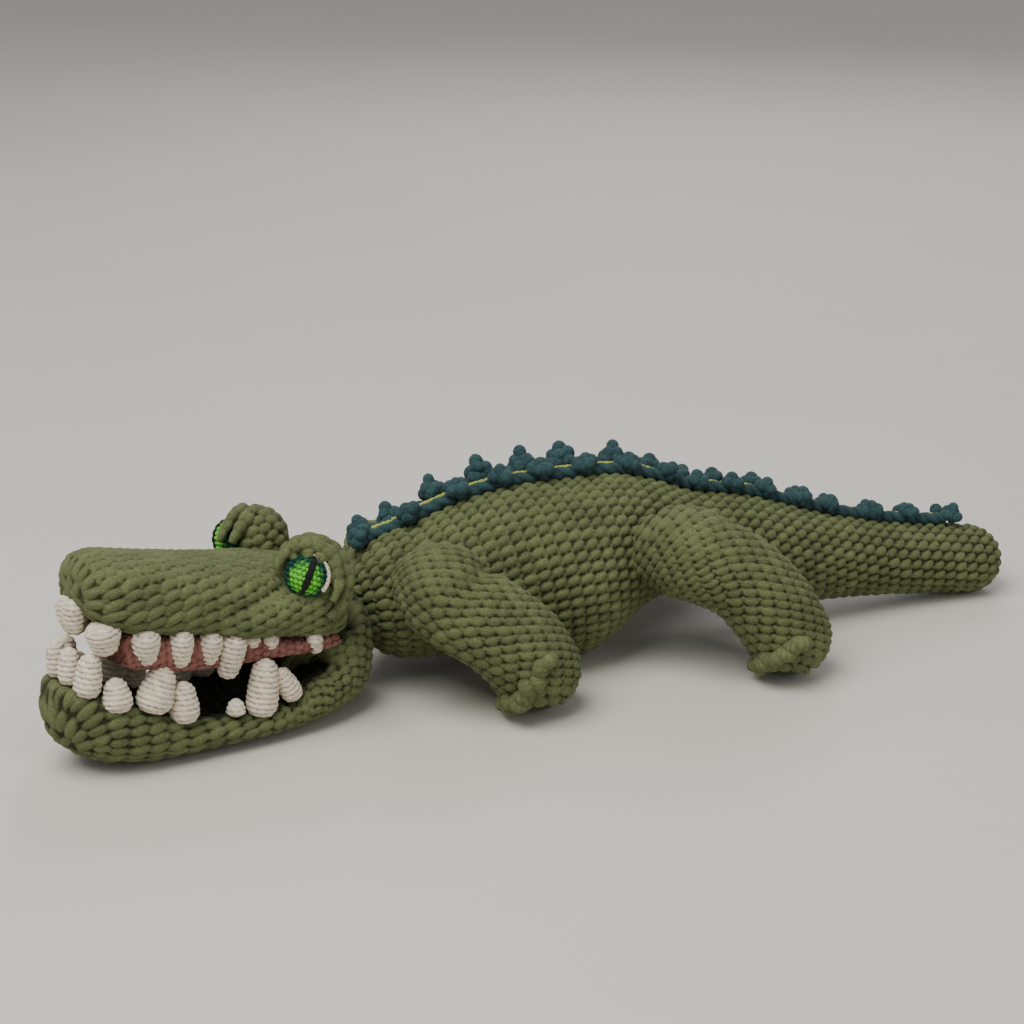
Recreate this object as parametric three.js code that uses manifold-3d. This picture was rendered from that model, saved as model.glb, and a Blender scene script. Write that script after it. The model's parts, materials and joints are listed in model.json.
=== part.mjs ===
// A crocheted plush crocodile lying on its belly, its head turned to its own left and its mouth open.
// Millimetres, +Z up, nose towards -X, the crocodile's left side towards -Y, the floor at z = 0.
import * as THREE from "three";
import { mergeVertices } from "three/addons/utils/BufferGeometryUtils.js";
import Module from "manifold-3d";

// Cloth, seams and clearances. A sole is pressed a little flatter than the belly, jaw and tail.
const clothThickness = 4;
const seamGap = 0.35;
const turningGap = 0.5;
const fillingGap = 0.35;
const solePress = 1.6;

// Body and tail, one crocheted tube
const neckMouthRadius = 19;
const bellyRadius = 54.8;
const spineLength = 377;
const bellyAlongShare = 0.265;
const bodySides = 16;
// One row for each round of the tube that sets its shape: how far along the spine from the neck,
// then the height of its middle and its radius as shares of the belly's radius.
const bodyShares = [
  [0, 0.912, 0.693],
  [0.027, 0.949, 0.739],
  [0.048, 0.976, 0.785],
  [0.112, 1.018, 0.874],
  [0.179, 1.011, 0.958],
  [0.228, 0.976, 1],
  [0.27, 0.975, 1.002],
  [0.313, 1.033, 0.942],
  [0.347, 1.117, 0.852],
  [0.377, 1.175, 0.755],
  [0.403, 1.197, 0.679],
  [0.432, 1.172, 0.635],
  [0.488, 1.031, 0.611],
  [0.538, 0.96, 0.626],
  [0.584, 0.903, 0.624],
  [0.647, 0.79, 0.578],
  [0.739, 0.664, 0.487],
  [0.833, 0.558, 0.427],
  [0.928, 0.467, 0.409],
  [1, 0.387, 0.4],
];

// Head
const headLength = 227;
const headHalfWidth = 45;
const headHeight = 121;
const headTurn = 17;
const headTurnRange = { right: -18, left: 4 };
const mouthOpenAngles = [0, 12];
const headSides = 16;
const squareShare = 0.86;
const lipSquareShare = 0.6;
const snoutWidestShare = 0.34;
const jawWidestShare = 0.62;
const lipWidth = 10;
const mouthDepth = 9;
const mouthHeadroom = 18;
const mouthFirstRow = 2;
// Rows of the lower jaw and the snout: how far ahead of the neck, half width, underside and top,
// as shares of the head's length, half width and height.
const jawShares = [
  [0.159, 0.55, 0.12, 0.47],
  [0.185, 0.74, 0.06, 0.46],
  [0.22, 0.89, 0.017, 0.413],
  [0.308, 0.978, -0.004, 0.314],
  [0.396, 0.956, -0.004, 0.198],
  [0.507, 0.911, -0.004, 0.165],
  [0.617, 0.844, -0.004, 0.182],
  [0.705, 0.8, -0.004, 0.219],
  [0.793, 0.756, 0, 0.306],
  [0.868, 0.678, 0.029, 0.38],
  [0.921, 0.556, 0.074, 0.446],
  [0.96, 0.378, 0.14, 0.479],
  [0.987, 0.2, 0.215, 0.455],
];
const snoutShares = [
  [0.22, 0.533, 0.446, 0.661],
  [0.247, 0.756, 0.409, 0.707],
  [0.282, 0.911, 0.401, 0.731],
  [0.352, 0.956, 0.43, 0.76],
  [0.423, 0.889, 0.459, 0.793],
  [0.507, 0.8, 0.492, 0.826],
  [0.595, 0.722, 0.529, 0.868],
  [0.683, 0.7, 0.57, 0.909],
  [0.758, 0.7, 0.607, 0.946],
  [0.828, 0.667, 0.653, 0.983],
  [0.877, 0.533, 0.711, 0.979],
  [0.905, 0.311, 0.769, 0.926],
];
const skullShares = {
  alongShare: 0.264,
  heightShare: 0.372,
  lengthShare: 0.132,
  widthShare: 0.844,
  tallShare: 0.347,
};
const mouthCornerShares = { alongShare: 0.26, heightShare: 0.42 };
const tipBulgeShare = 0.06;
const backSeamDepth = 12;

// Palate lining, a stuffed pad under the snout
const palateInset = 4;
const palateDrop = 7;
const palateRootRise = 14;
const palateFirstRow = 2;
const palateLastRow = 10;

// Eyes
const eyeRadius = 11.5;
const eyeMoundRadius = 17.5;
const eyeMoundTall = 19;
const eyeShares = { alongShare: 0.374, sideShare: 0.756, heightShare: 0.769 };
const moundShares = { alongShare: 0.34, sideShare: 0.633, heightShare: 0.76 };
const eyelidRadius = 2.8;
const eyelidReach = 13.8;
const slitRadius = 1.1;
const slitLean = 22;
const slitReach = 52;
const slitSteps = 6;
const eyelidForward = 5.5;
const eyelidFrom = -30;
const eyelidSpan = 190;
const eyelidSteps = 9;
const eyeLook = 53;
const eyeRise = 18;
const eyeSides = 10;

// Teeth, crocheted in cotton
const toothSides = 5;
const toothRootDepth = 3;
const toothTipShare = 0.78;
// Along the jaw, how far out as a share of its half width, height of the tip, radius, and the lean
// towards the nose in degrees.
const upperToothShares = [
  [0.905, 0.4, 0.653, 0.044, 8],
  [0.857, 0.72, 0.574, 0.064, 0],
  [0.78, 0.83, 0.496, 0.068, 0],
  [0.696, 0.86, 0.451, 0.052, 0],
  [0.617, 0.84, 0.426, 0.052, 6],
  [0.564, 0.83, 0.339, 0.056, 14],
  [0.509, 0.82, 0.421, 0.04, 0],
  [0.465, 0.81, 0.397, 0.045, 0],
  [0.359, 0.86, 0.372, 0.041, -8],
];
const lowerToothShares = [
  [0.94, 0.4, 0.599, 0.044, 0],
  [0.907, 0.66, 0.579, 0.052, -10],
  [0.855, 0.78, 0.463, 0.052, -6],
  [0.771, 0.8, 0.475, 0.071, -22],
  [0.7, 0.84, 0.384, 0.054, 0],
  [0.57, 0.85, 0.276, 0.051, 0],
  [0.498, 0.84, 0.401, 0.062, -8],
  [0.427, 0.86, 0.339, 0.044, 28],
];

// Legs: where they leave the flank, how far they reach, and their thickness
const legSides = 10;
const legRadius = 25.6;
const legSwingAngles = [-10, 0, 10];
const shoulderAhead = 98.3;
const shoulderRises = { left: 25.7, right: 4 };
const shoulderStandoff = 11.4;
const frontReachBack = 54;
const frontReachOut = 30.5;
const hipBehind = 46.7;
const hipRises = { left: 10.2, right: 0 };
const hipStandoff = 5.3;
const hindReachBack = 64.6;
const hindReachOut = 36;
// Shares of the reach back, the reach out, the drop to the foot, and of the leg's radius.
const frontRouteShares = [
  [0, 0, 0, 0.94],
  [0.19, 0.56, 0.16, 0.99],
  [0.57, 0.885, 0.385, 1.01],
  [0.83, 1.08, 0.654, 1.02],
  [1, 1, 1, 1],
];
const hindRouteShares = [
  [0, 0, 0, 1.01],
  [0.23, 0.44, 0, 1.03],
  [0.57, 0.78, 0.21, 0.96],
  [0.826, 1, 0.603, 0.99],
  [1, 1, 1, 0.96],
];
// Directions of the toes from the middle of the foot, in the left legs' frame.
const frontToeShares = [
  [-0.75, -0.25, -0.62],
  [-0.554, -0.812, -0.181],
  [-0.037, -0.883, 0.468],
];
const hindToeShares = [
  [-0.87, -0.15, -0.6],
  [-0.7, -0.66, -0.281],
  [-0.163, -0.973, 0.166],
];
const toeRadius = 9.5;
const smallToeRadius = 7.5;
const toeSunkShare = 0.12;
const toeSides = 8;

// Crest: two chains of chunky yarn sewn along the back, with knots standing on them
const crestSides = 6;
const crestYarnRadius = 4;
const crestSpread = 4.5;
const crestAside = 7;
const crestSink = 0.8;
const knotSpread = 5.6;
const knotLength = 8.4;
const knotDepth = 6.2;
const knotHeights = { left: 7.6, right: 10 };
const knotLifts = { left: 9.5, right: 13 };
const crestStep = 22;
const stitchRadius = 1.2;
const stitchLift = 6.6;
const stitchSides = 4;
const crestStartShare = -0.045;
const crestEndShare = 0.955;
const leftKnotShares = [
  -0.051, 0.024, 0.099, 0.168, 0.231, 0.304, 0.373, 0.44,
  0.493, 0.555, 0.612, 0.677, 0.729, 0.81, 0.883, 0.963,
];
const rightKnotShares = [
  -0.047, 0.004, 0.072, 0.147, 0.214, 0.278, 0.359, 0.419,
  0.475, 0.536, 0.594, 0.658, 0.716, 0.793, 0.867, 0.944,
];

// Yarn colours
const yarns = {
  olive: { color: 0x6f7b45, roughness: 0.95 },
  teal: { color: 0x1f4d52, roughness: 0.95 },
  lime: { color: 0xb4b94e, roughness: 0.9 },
  rust: { color: 0x8a4a34, roughness: 0.95 },
  cotton: { color: 0xd9d4cb, roughness: 0.9 },
  iris: { color: 0x3fae35, roughness: 0.9 },
  black: { color: 0x101214, roughness: 0.85 },
  wadding: { color: 0xf1efe8, roughness: 1 },
};

const wasm = await Module();
wasm.setup();

const degrees = THREE.MathUtils.degToRad;
const upright = new THREE.Vector3(0, 0, 1);
const lateral = new THREE.Vector3(0, 1, 0);
const roundCap = [60, 30];
const bluntCap = [45];
const none = new THREE.Matrix4();

// A geometry with its shared corners merged, as a solid that can be joined and cut.
function solid(geometry, matrix = none) {
  const bare = geometry.clone();
  bare.deleteAttribute("normal");
  bare.deleteAttribute("uv");
  bare.applyMatrix4(matrix);
  const merged = mergeVertices(bare);
  return new wasm.Manifold(
    new wasm.Mesh({
      numProp: 3,
      vertProperties: merged.attributes.position.array,
      triVerts: new Uint32Array(merged.index.array),
    }),
  );
}

function geometryOf(shape) {
  const mesh = shape.getMesh();
  const geometry = new THREE.BufferGeometry();
  geometry.setAttribute("position", new THREE.BufferAttribute(mesh.vertProperties, 3));
  geometry.setIndex(new THREE.BufferAttribute(mesh.triVerts, 1));
  geometry.computeVertexNormals();
  return geometry;
}

const largest = (shape) => shape.decompose().reduce((a, b) => (a.volume() > b.volume() ? a : b));
const join = (shapes) => shapes.reduce((whole, shape) => whole.add(shape));
const cut = (shape, tools) => tools.reduce((rest, tool) => rest.subtract(tool), shape);

// A closed skin over a stack of rings, each of its two ends drawn together at a point.
function loft(rings, startTip, endTip) {
  const count = rings[0].length;
  const points = [startTip, ...rings.flat(), endTip];
  const faces = [];
  const last = points.length - 1;
  for (let j = 0; j < count; j++) {
    const next = (j + 1) % count;
    faces.push(0, 1 + next, 1 + j);
    for (let i = 0; i + 1 < rings.length; i++) {
      const low = 1 + i * count;
      const high = low + count;
      faces.push(low + j, low + next, high + next);
      faces.push(low + j, high + next, high + j);
    }
    const top = 1 + (rings.length - 1) * count;
    faces.push(last, top + j, top + next);
  }
  const geometry = new THREE.BufferGeometry().setFromPoints(points);
  geometry.setIndex(faces);
  return geometry;
}

// A tube through stations { centre, radius }, with round ends. Its rings stand square to the route,
// or square to `axis` where that is given. The body's first corner is half a side round, so that it
// lies on the floor on one of its flats.
function tube(stations, sides, axis, capAngles = roundCap, startAngle = 0) {
  const frames = stations.map((station, i) => {
    const before = stations[Math.max(i - 1, 0)].centre;
    const after = stations[Math.min(i + 1, stations.length - 1)].centre;
    return axis ? axis.clone() : after.clone().sub(before).normalize();
  });
  let across = new THREE.Vector3().crossVectors(upright, frames[0]);
  if (across.length() < Number.EPSILON) across = lateral.clone();
  across.normalize();
  const ring = (centre, forward, radius) => {
    across.addScaledVector(forward, -across.dot(forward)).normalize();
    const up = new THREE.Vector3().crossVectors(forward, across);
    return Array.from({ length: sides }, (_, j) => {
      const angle = startAngle + (2 * Math.PI * j) / sides;
      return centre
        .clone()
        .addScaledVector(across, radius * Math.cos(angle))
        .addScaledVector(up, radius * Math.sin(angle));
    });
  };
  const cap = (station, forward, sign) =>
    capAngles.map((angle) => {
      const tilt = degrees(angle);
      const ahead = sign * station.radius * Math.sin(tilt);
      const centre = station.centre.clone().addScaledVector(forward, ahead);
      return [centre, station.radius * Math.cos(tilt)];
    });
  const first = stations[0];
  const final = stations[stations.length - 1];
  const forward = frames[frames.length - 1];
  const rings = [];
  for (const [centre, radius] of cap(first, frames[0], -1)) {
    rings.push(ring(centre, frames[0], radius));
  }
  stations.forEach((station, i) => rings.push(ring(station.centre, frames[i], station.radius)));
  for (const [centre, radius] of cap(final, forward, 1).reverse()) {
    rings.push(ring(centre, forward, radius));
  }
  return loft(
    rings,
    first.centre.clone().addScaledVector(frames[0], -first.radius),
    final.centre.clone().addScaledVector(forward, final.radius),
  );
}

function ellipsoid(centre, radii, sides) {
  const geometry = new THREE.SphereGeometry(1, sides, Math.ceil(sides / 2));
  geometry.rotateX(Math.PI / 2);
  geometry.scale(radii.x, radii.y, radii.z);
  geometry.translate(centre.x, centre.y, centre.z);
  return geometry;
}

// The rows of a table at a value of its first column, in between as on a straight line.
function between(table, value) {
  const after = table.findIndex((row) => row[0] >= value);
  if (after < 0) return table[table.length - 1];
  if (after === 0) return table[0];
  const [low, high] = [table[after - 1], table[after]];
  const part = (value - low[0]) / (high[0] - low[0]);
  return low.map((entry, i) => entry + part * (high[i] - entry));
}

// Body and tail
const neckX = -bellyAlongShare * spineLength;
const spineX = (share) => neckX + share * spineLength;
const bodyRows = bodyShares.map(([along, height, radius]) => [
  spineX(along),
  height * bellyRadius,
  radius * bellyRadius,
]);
const neckHeight = bodyRows[0][1];
const neckRadius = bodyRows[0][2];

// Inside a skin a form has half as many sides, with its corners on every other line of the skin's.
const sidesFor = (sides, growth) => (growth < 0 ? sides / 2 : sides);

function bodyForm(growth) {
  const stations = bodyRows.map(([x, height, radius]) => ({
    centre: new THREE.Vector3(x, 0, height),
    radius: radius + growth,
  }));
  const forward = new THREE.Vector3(1, 0, 0);
  return tube(stations, sidesFor(bodySides, growth), forward, roundCap, Math.PI / bodySides);
}

// A point over the back at x, a distance `aside` off its middle line and `lift` above the skin. Ahead
// of the first round the back is the round front end of the neck.
function overBack(x, aside, lift) {
  const row = between(bodyRows, x);
  const height = row[1];
  const radius = x < neckX ? Math.sqrt(neckRadius ** 2 - (x - neckX) ** 2) : row[2];
  const lean = Math.asin(aside / radius);
  const reach = radius + lift;
  return new THREE.Vector3(x, reach * Math.sin(lean), height + reach * Math.cos(lean));
}

// Everything that lies on the floor is pressed flat there.
const floorSize = 2 * (spineLength + headLength);
const floorBlock = new THREE.BoxGeometry(floorSize, floorSize, bellyRadius);
floorBlock.translate(0, 0, -bellyRadius / 2);
const floor = solid(floorBlock);
const onFloor = (shape) => cut(shape, [floor]);
const insideFloorBlock = floorBlock.clone().translate(0, 0, clothThickness);
const aboveSole = (shape) => cut(shape, [solid(insideFloorBlock)]);
const fillingFloorBlock = floorBlock.clone().translate(0, 0, clothThickness + fillingGap);
const aboveSoleFilling = (shape) => cut(shape, [solid(fillingFloorBlock)]);

const bodyOuter = onFloor(solid(bodyForm(0)));
const neckMouth = solid(
  tube(
    [
      { centre: new THREE.Vector3(neckX - neckRadius, 0, neckHeight), radius: neckMouthRadius },
      { centre: new THREE.Vector3(neckX, 0, neckHeight), radius: neckMouthRadius },
    ],
    bodySides,
    new THREE.Vector3(1, 0, 0),
  ),
);
const bodySkin = cut(bodyOuter, [aboveSole(solid(bodyForm(-clothThickness))), neckMouth]);
const bodyFilling = aboveSoleFilling(solid(bodyForm(-clothThickness - fillingGap)));

// The room that a turning piece needs beside a fixed one: the fixed form turned the other way about
// the hinge, at steps over the hinge's whole range.
function turned(point, axis, angle) {
  const matrix = new THREE.Matrix4().makeTranslation(point.x, point.y, point.z);
  matrix.multiply(new THREE.Matrix4().makeRotationAxis(axis, degrees(angle)));
  return matrix.multiply(new THREE.Matrix4().makeTranslation(-point.x, -point.y, -point.z));
}

const clearanceOf = (geometry, point, axis, angles) =>
  angles.map((angle) => solid(geometry, turned(point, axis, -angle)));

// Head. Its forms are made in its own frame, ahead of the neck along -X, and turned with the head.
const headPlace = new THREE.Matrix4().makeRotationZ(degrees(headTurn));
headPlace.setPosition(neckX, 0, 0);
const openBody = bodyForm(seamGap);
const neckPoint = new THREE.Vector3(0, 0, neckHeight);
const ahead = (share) => -share * headLength;
const headRows = (table, widest, lipIsTop) =>
  table.map(([along, width, low, high]) => ({
    x: ahead(along),
    half: width * headHalfWidth,
    low: low * headHeight,
    high: high * headHeight,
    widest,
    lipIsTop,
  }));
const jawRows = headRows(jawShares, jawWidestShare, true);
const snoutRows = headRows(snoutShares, snoutWidestShare, false);

// An upright ring of the jaw or the snout. Its widest line lies nearer the mouth, and on the mouth's
// side of that line its corners are squarer.
function faceRing(row, growth) {
  const middle = row.low + row.widest * (row.high - row.low);
  const half = row.half + growth;
  const square = (value, share) => Math.sign(value) * Math.abs(value) ** share;
  const count = sidesFor(headSides, growth);
  return Array.from({ length: count }, (_, j) => {
    const angle = (2 * Math.PI * j) / count;
    const above = Math.sin(angle) > 0;
    const tall = (above ? row.high - middle : middle - row.low) + growth;
    const share = above === row.lipIsTop ? lipSquareShare : squareShare;
    return new THREE.Vector3(
      row.x,
      -half * square(Math.cos(angle), share),
      middle + tall * square(Math.sin(angle), share),
    );
  });
}

// How high the mouth's side of a jaw stands, a share of the half width out from its middle.
function lipHeight(rows, x, outShare) {
  const table = rows.map((row) => [-row.x, row.low, row.high]);
  const [, low, high] = between(table, -x);
  const middle = low + rows[0].widest * (high - low);
  const tall = (rows[0].lipIsTop ? high : low) - middle;
  return middle + tall * (1 - outShare ** (2 / lipSquareShare)) ** (lipSquareShare / 2);
}

function faceForm(plainRows, growth) {
  const rows = plainRows.map((row) => ({ ...row }));
  const first = rows[0];
  const last = rows[rows.length - 1];
  first.x += growth;
  last.x -= growth;
  const tip = (row, way) =>
    new THREE.Vector3(row.x + way * row.half * tipBulgeShare, 0, (row.low + row.high) / 2);
  return loft(
    rows.map((row) => faceRing(row, growth)),
    tip(first, 1),
    tip(last, -1),
  );
}

function skullForm(growth) {
  return ellipsoid(
    new THREE.Vector3(ahead(skullShares.alongShare), 0, skullShares.heightShare * headHeight),
    new THREE.Vector3(
      skullShares.lengthShare * headLength + growth,
      skullShares.widthShare * headHalfWidth + growth,
      skullShares.tallShare * headHeight + growth,
    ),
    sidesFor(headSides, growth),
  );
}

// The hollow of the mouth, sunk between the lips of the lower jaw.
function mouthForm(growth) {
  const rows = jawRows.slice(mouthFirstRow, -1).map((row) => ({
    ...row,
    half: row.half - lipWidth + growth,
    low: row.high - mouthDepth - growth,
    high: row.high + mouthHeadroom,
  }));
  const tip = (row) => new THREE.Vector3(row.x, 0, (row.low + row.high) / 2);
  return loft(
    rows.map((row) => faceRing(row, 0)),
    tip(rows[0]),
    tip(rows[rows.length - 1]),
  );
}

const hinge = new THREE.Vector3(
  ahead(mouthCornerShares.alongShare),
  0,
  mouthCornerShares.heightShare * headHeight,
);
// The neck is round about the point that the head turns on. This ball clears it, with its flats too.
const socketRadius = (neckRadius + turningGap) / Math.cos(Math.PI / headSides) ** 2;
const neckSocket = solid(
  ellipsoid(neckPoint, new THREE.Vector3(socketRadius, socketRadius, socketRadius), headSides),
);
// Seen from the jaw the snout turns up, and seen from the snout the jaw turns down.
const snoutSwept = (growth) =>
  mouthOpenAngles.map((angle) => solid(faceForm(snoutRows, growth), turned(hinge, lateral, angle)));

const jawWhole = (growth) => join([solid(faceForm(jawRows, growth)), solid(skullForm(growth))]);
const jawSkin = cut(onFloor(jawWhole(0)), [
  aboveSole(
    cut(jawWhole(-clothThickness), [
      solid(mouthForm(clothThickness)),
      ...snoutSwept(seamGap + clothThickness),
    ]),
  ),
  solid(mouthForm(0)),
  ...snoutSwept(seamGap),
  neckSocket,
]);
const jawFilling = aboveSoleFilling(
  cut(jawWhole(-clothThickness - fillingGap), [
    solid(mouthForm(clothThickness + fillingGap)),
    ...snoutSwept(seamGap + clothThickness + fillingGap),
    neckSocket,
  ]),
);

const snoutOuter = cut(solid(faceForm(snoutRows, 0)), [neckSocket]);
const backSeam = solid(
  ellipsoid(
    new THREE.Vector3(snoutRows[0].x, 0, (snoutRows[0].low + snoutRows[0].high) / 2),
    new THREE.Vector3(
      backSeamDepth,
      snoutRows[0].half - clothThickness,
      (snoutRows[0].high - snoutRows[0].low) / 2 - clothThickness,
    ),
    eyeSides,
  ),
);
const snoutSkin = cut(snoutOuter, [solid(faceForm(snoutRows, -clothThickness)), backSeam]);
const snoutFilling = solid(faceForm(snoutRows, -clothThickness - fillingGap));

// Palate: it hangs below the snout and is sewn to it along its edge.
const palateRows = snoutRows.slice(palateFirstRow, palateLastRow).map((row) => ({
  ...row,
  half: row.half - palateInset,
  low: row.low - palateDrop,
  high: row.low + palateRootRise,
}));
const palate = cut(solid(faceForm(palateRows, 0)), [
  solid(faceForm(snoutRows, seamGap)),
  ...mouthOpenAngles.map((angle) => solid(faceForm(jawRows, seamGap), turned(hinge, lateral, -angle))),
  ...mouthOpenAngles.map((angle) => solid(skullForm(seamGap), turned(hinge, lateral, -angle))),
]);

// Eyes
function eyePlace(shares, side) {
  return new THREE.Vector3(
    ahead(shares.alongShare),
    side * shares.sideShare * headHalfWidth,
    shares.heightShare * headHeight,
  );
}

function eyeForm(side, growth) {
  const size = eyeRadius + growth;
  return solid(ellipsoid(eyePlace(eyeShares, side), new THREE.Vector3(size, size, size), eyeSides));
}

// A direction from the eye's middle: `turn` from straight ahead towards the side, `rise` above level.
function gaze(side, turn, rise) {
  const flat = Math.cos(degrees(rise));
  return new THREE.Vector3(
    -flat * Math.cos(degrees(turn)),
    side * flat * Math.sin(degrees(turn)),
    Math.sin(degrees(rise)),
  );
}

function arc(side, steps, radius, thick, angles) {
  const middle = eyePlace(eyeShares, side);
  return Array.from({ length: steps + 1 }, (_, i) => {
    const [turn, rise] = angles(i / steps);
    return { centre: gaze(side, turn, rise).multiplyScalar(radius).add(middle), radius: thick };
  });
}

const slitForm = (side, growth) =>
  solid(
    tube(
      arc(side, slitSteps, eyeRadius, slitRadius + growth, (part) => [
        eyeLook + slitLean * (2 * part - 1),
        slitReach * (2 * part - 1),
      ]),
      toothSides,
    ),
  );
// The lid is an arch over the ball, square to the way the eye looks.
const lidForm = (side) => {
  const look = gaze(side, eyeLook, eyeRise);
  const back = new THREE.Vector3().crossVectors(look, upright).multiplyScalar(side).normalize();
  const up = new THREE.Vector3().crossVectors(look, back).multiplyScalar(-side);
  const middle = eyePlace(eyeShares, side).addScaledVector(look, eyelidForward);
  const stations = Array.from({ length: eyelidSteps + 1 }, (_, i) => {
    const angle = degrees(eyelidFrom + (eyelidSpan * i) / eyelidSteps);
    const centre = middle
      .clone()
      .addScaledVector(back, eyelidReach * Math.cos(angle))
      .addScaledVector(up, eyelidReach * Math.sin(angle));
    return { centre, radius: eyelidRadius };
  });
  return solid(tube(stations, toothSides, undefined, bluntCap));
};

function makeEye(side) {
  const moundRadii = new THREE.Vector3(eyeMoundRadius, eyeMoundRadius, eyeMoundTall);
  const mound = ellipsoid(eyePlace(moundShares, side), moundRadii, eyeSides);
  const snoutRoom = solid(faceForm(snoutRows, seamGap));
  const grownMound = ellipsoid(
    eyePlace(moundShares, side),
    moundRadii.clone().addScalar(seamGap),
    eyeSides,
  );
  return {
    ball: cut(eyeForm(side, 0), [snoutRoom, slitForm(side, seamGap)]),
    slit: cut(slitForm(side, 0), [snoutRoom]),
    lid: cut(lidForm(side), [snoutRoom, eyeForm(side, seamGap), solid(grownMound)]),
    mound: cut(solid(mound), [snoutRoom, eyeForm(side, seamGap), slitForm(side, seamGap)]),
  };
}

// Teeth: each is a blunt cone from a root in the lip that carries it to its tip.
function makeTooth(row, rows, side, room) {
  const [along, out, height, radius, lean] = row;
  const way = rows[0].lipIsTop ? 1 : -1;
  const thick = radius * headHeight;
  const tipThick = thick * toothTipShare;
  const table = rows.map((entry) => [-entry.x, entry.half]);
  const y = side * out * between(table, -ahead(along))[1];
  const rootZ = lipHeight(rows, ahead(along), out) - way * toothRootDepth;
  const tipZ = height * headHeight - way * tipThick;
  const slant = Math.tan(degrees(lean)) * Math.abs(tipZ - rootZ);
  const root = new THREE.Vector3(ahead(along) + slant / 2, y, rootZ);
  const tip = new THREE.Vector3(ahead(along) - slant / 2, y, tipZ);
  const stations = [
    { centre: root, radius: thick },
    { centre: root.clone().lerp(tip, 1 / 2), radius: thick },
    { centre: tip, radius: tipThick },
  ];
  return largest(cut(solid(tube(stations, toothSides, undefined, bluntCap)), room));
}

const upperRoom = [solid(faceForm(snoutRows, seamGap)), solid(faceForm(palateRows, seamGap))];
const lowerRoom = [cut(jawWhole(seamGap), [solid(mouthForm(-seamGap))])];

// Legs
// The room beside a leg for the back of the head, with the head at rest and turned fully to its left.
const skullRoom = [headTurnRange.right, 0, headTurnRange.left].map((angle) => {
  const turn = turned(new THREE.Vector3(neckX, 0, neckHeight), upright, angle);
  return skullForm(turningGap).applyMatrix4(turn.multiply(headPlace));
});

function legRoute(leg, name, side) {
  const [, height, radius] = between(bodyRows, leg.x);
  const rise = degrees(leg.rises[name]);
  const reach = radius + leg.standoff;
  const rootY = reach * Math.cos(rise);
  const rootZ = height + reach * Math.sin(rise);
  const footZ = legRadius * leg.route[leg.route.length - 1][3] - solePress;
  return leg.route.map(([back, out, down, thick]) => ({
    centre: new THREE.Vector3(
      leg.x + back * leg.reachBack,
      side * (rootY + out * leg.reachOut),
      rootZ + down * (footZ - rootZ),
    ),
    radius: thick * legRadius,
  }));
}

const grown = (stations, growth) =>
  stations.map(({ centre, radius }) => ({ centre, radius: radius + growth }));

function toeForms(leg, side, foot) {
  return leg.toes.map(([x, y, z], i) => {
    const size = i === 0 ? smallToeRadius : toeRadius;
    const reach = foot.radius - toeSunkShare * size;
    const centre = new THREE.Vector3(x, -side * y, z).setLength(reach).add(foot.centre);
    return solid(ellipsoid(centre, new THREE.Vector3(size, size, size), toeSides));
  });
}

function makeLeg(leg, name, side) {
  const route = legRoute(leg, name, side);
  const clear = [bodyForm(turningGap), ...skullRoom].flatMap((form) =>
    clearanceOf(form, route[0].centre, lateral, legSwingAngles),
  );
  const outer = join([solid(tube(route, legSides)), ...toeForms(leg, side, route[route.length - 1])]);
  const hollow = aboveSole(solid(tube(grown(route, -clothThickness), legSides / 2)));
  const inner = grown(route, -clothThickness - fillingGap);
  const filling = aboveSoleFilling(solid(tube(inner, legSides / 2)));
  return {
    skin: cut(onFloor(outer), [hollow, ...clear]),
    filling: cut(filling, clear),
  };
}

const legs = [
  {
    name: "front",
    x: -shoulderAhead,
    rises: shoulderRises,
    standoff: shoulderStandoff,
    reachBack: frontReachBack,
    reachOut: frontReachOut,
    route: frontRouteShares,
    toes: frontToeShares,
  },
  {
    name: "hind",
    x: hipBehind,
    rises: hipRises,
    standoff: hipStandoff,
    reachBack: hindReachBack,
    reachOut: hindReachOut,
    route: hindRouteShares,
    toes: hindToeShares,
  },
];
const sides = [
  ["left", -1],
  ["right", 1],
];

// Crest
function crestRoute(side, spread, lift) {
  const start = spineX(crestStartShare);
  const end = spineX(crestEndShare);
  const steps = Math.ceil((end - start) / crestStep);
  return Array.from({ length: steps + 1 }, (_, i) => {
    return overBack(start + ((end - start) * i) / steps, crestAside + side * spread, lift);
  });
}

function makeCrest(name, side, knotShares) {
  const chain = crestRoute(side, crestSpread, crestYarnRadius - crestSink).map((centre) => ({
    centre,
    radius: crestYarnRadius,
  }));
  const knots = knotShares.map((share) => {
    const x = spineX(share);
    const slimness = between(bodyRows, x)[2] / bellyRadius;
    const centre = overBack(x, crestAside + side * knotSpread, slimness * knotLifts[name]);
    const size = new THREE.Vector3(knotLength, knotDepth, knotHeights[name]);
    return solid(ellipsoid(centre, size, crestSides));
  });
  const whole = join([solid(tube(chain, crestSides, undefined, bluntCap)), ...knots]);
  return cut(whole, [solid(openBody), solid(stitchTube(seamGap))]);
}

const stitchTube = (growth) =>
  tube(
    crestRoute(1, 0, stitchLift).map((centre) => ({ centre, radius: stitchRadius + growth })),
    stitchSides,
    undefined,
    bluntCap,
  );
const stitching = solid(stitchTube(0));
const crests = sides.map(([name, side]) => [
  name,
  makeCrest(name, side, side < 0 ? leftKnotShares : rightKnotShares),
]);

// Assembly
const crocodile = new THREE.Group();
const head = new THREE.Group();
head.position.set(neckX, 0, 0);
head.rotation.z = degrees(headTurn);
crocodile.add(head);

function addPiece(group, name, shape, yarn) {
  const cloth = new THREE.MeshStandardMaterial({ ...yarns[yarn], metalness: 0 });
  const mesh = new THREE.Mesh(geometryOf(shape), cloth);
  mesh.name = name;
  group.add(mesh);
}

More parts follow.
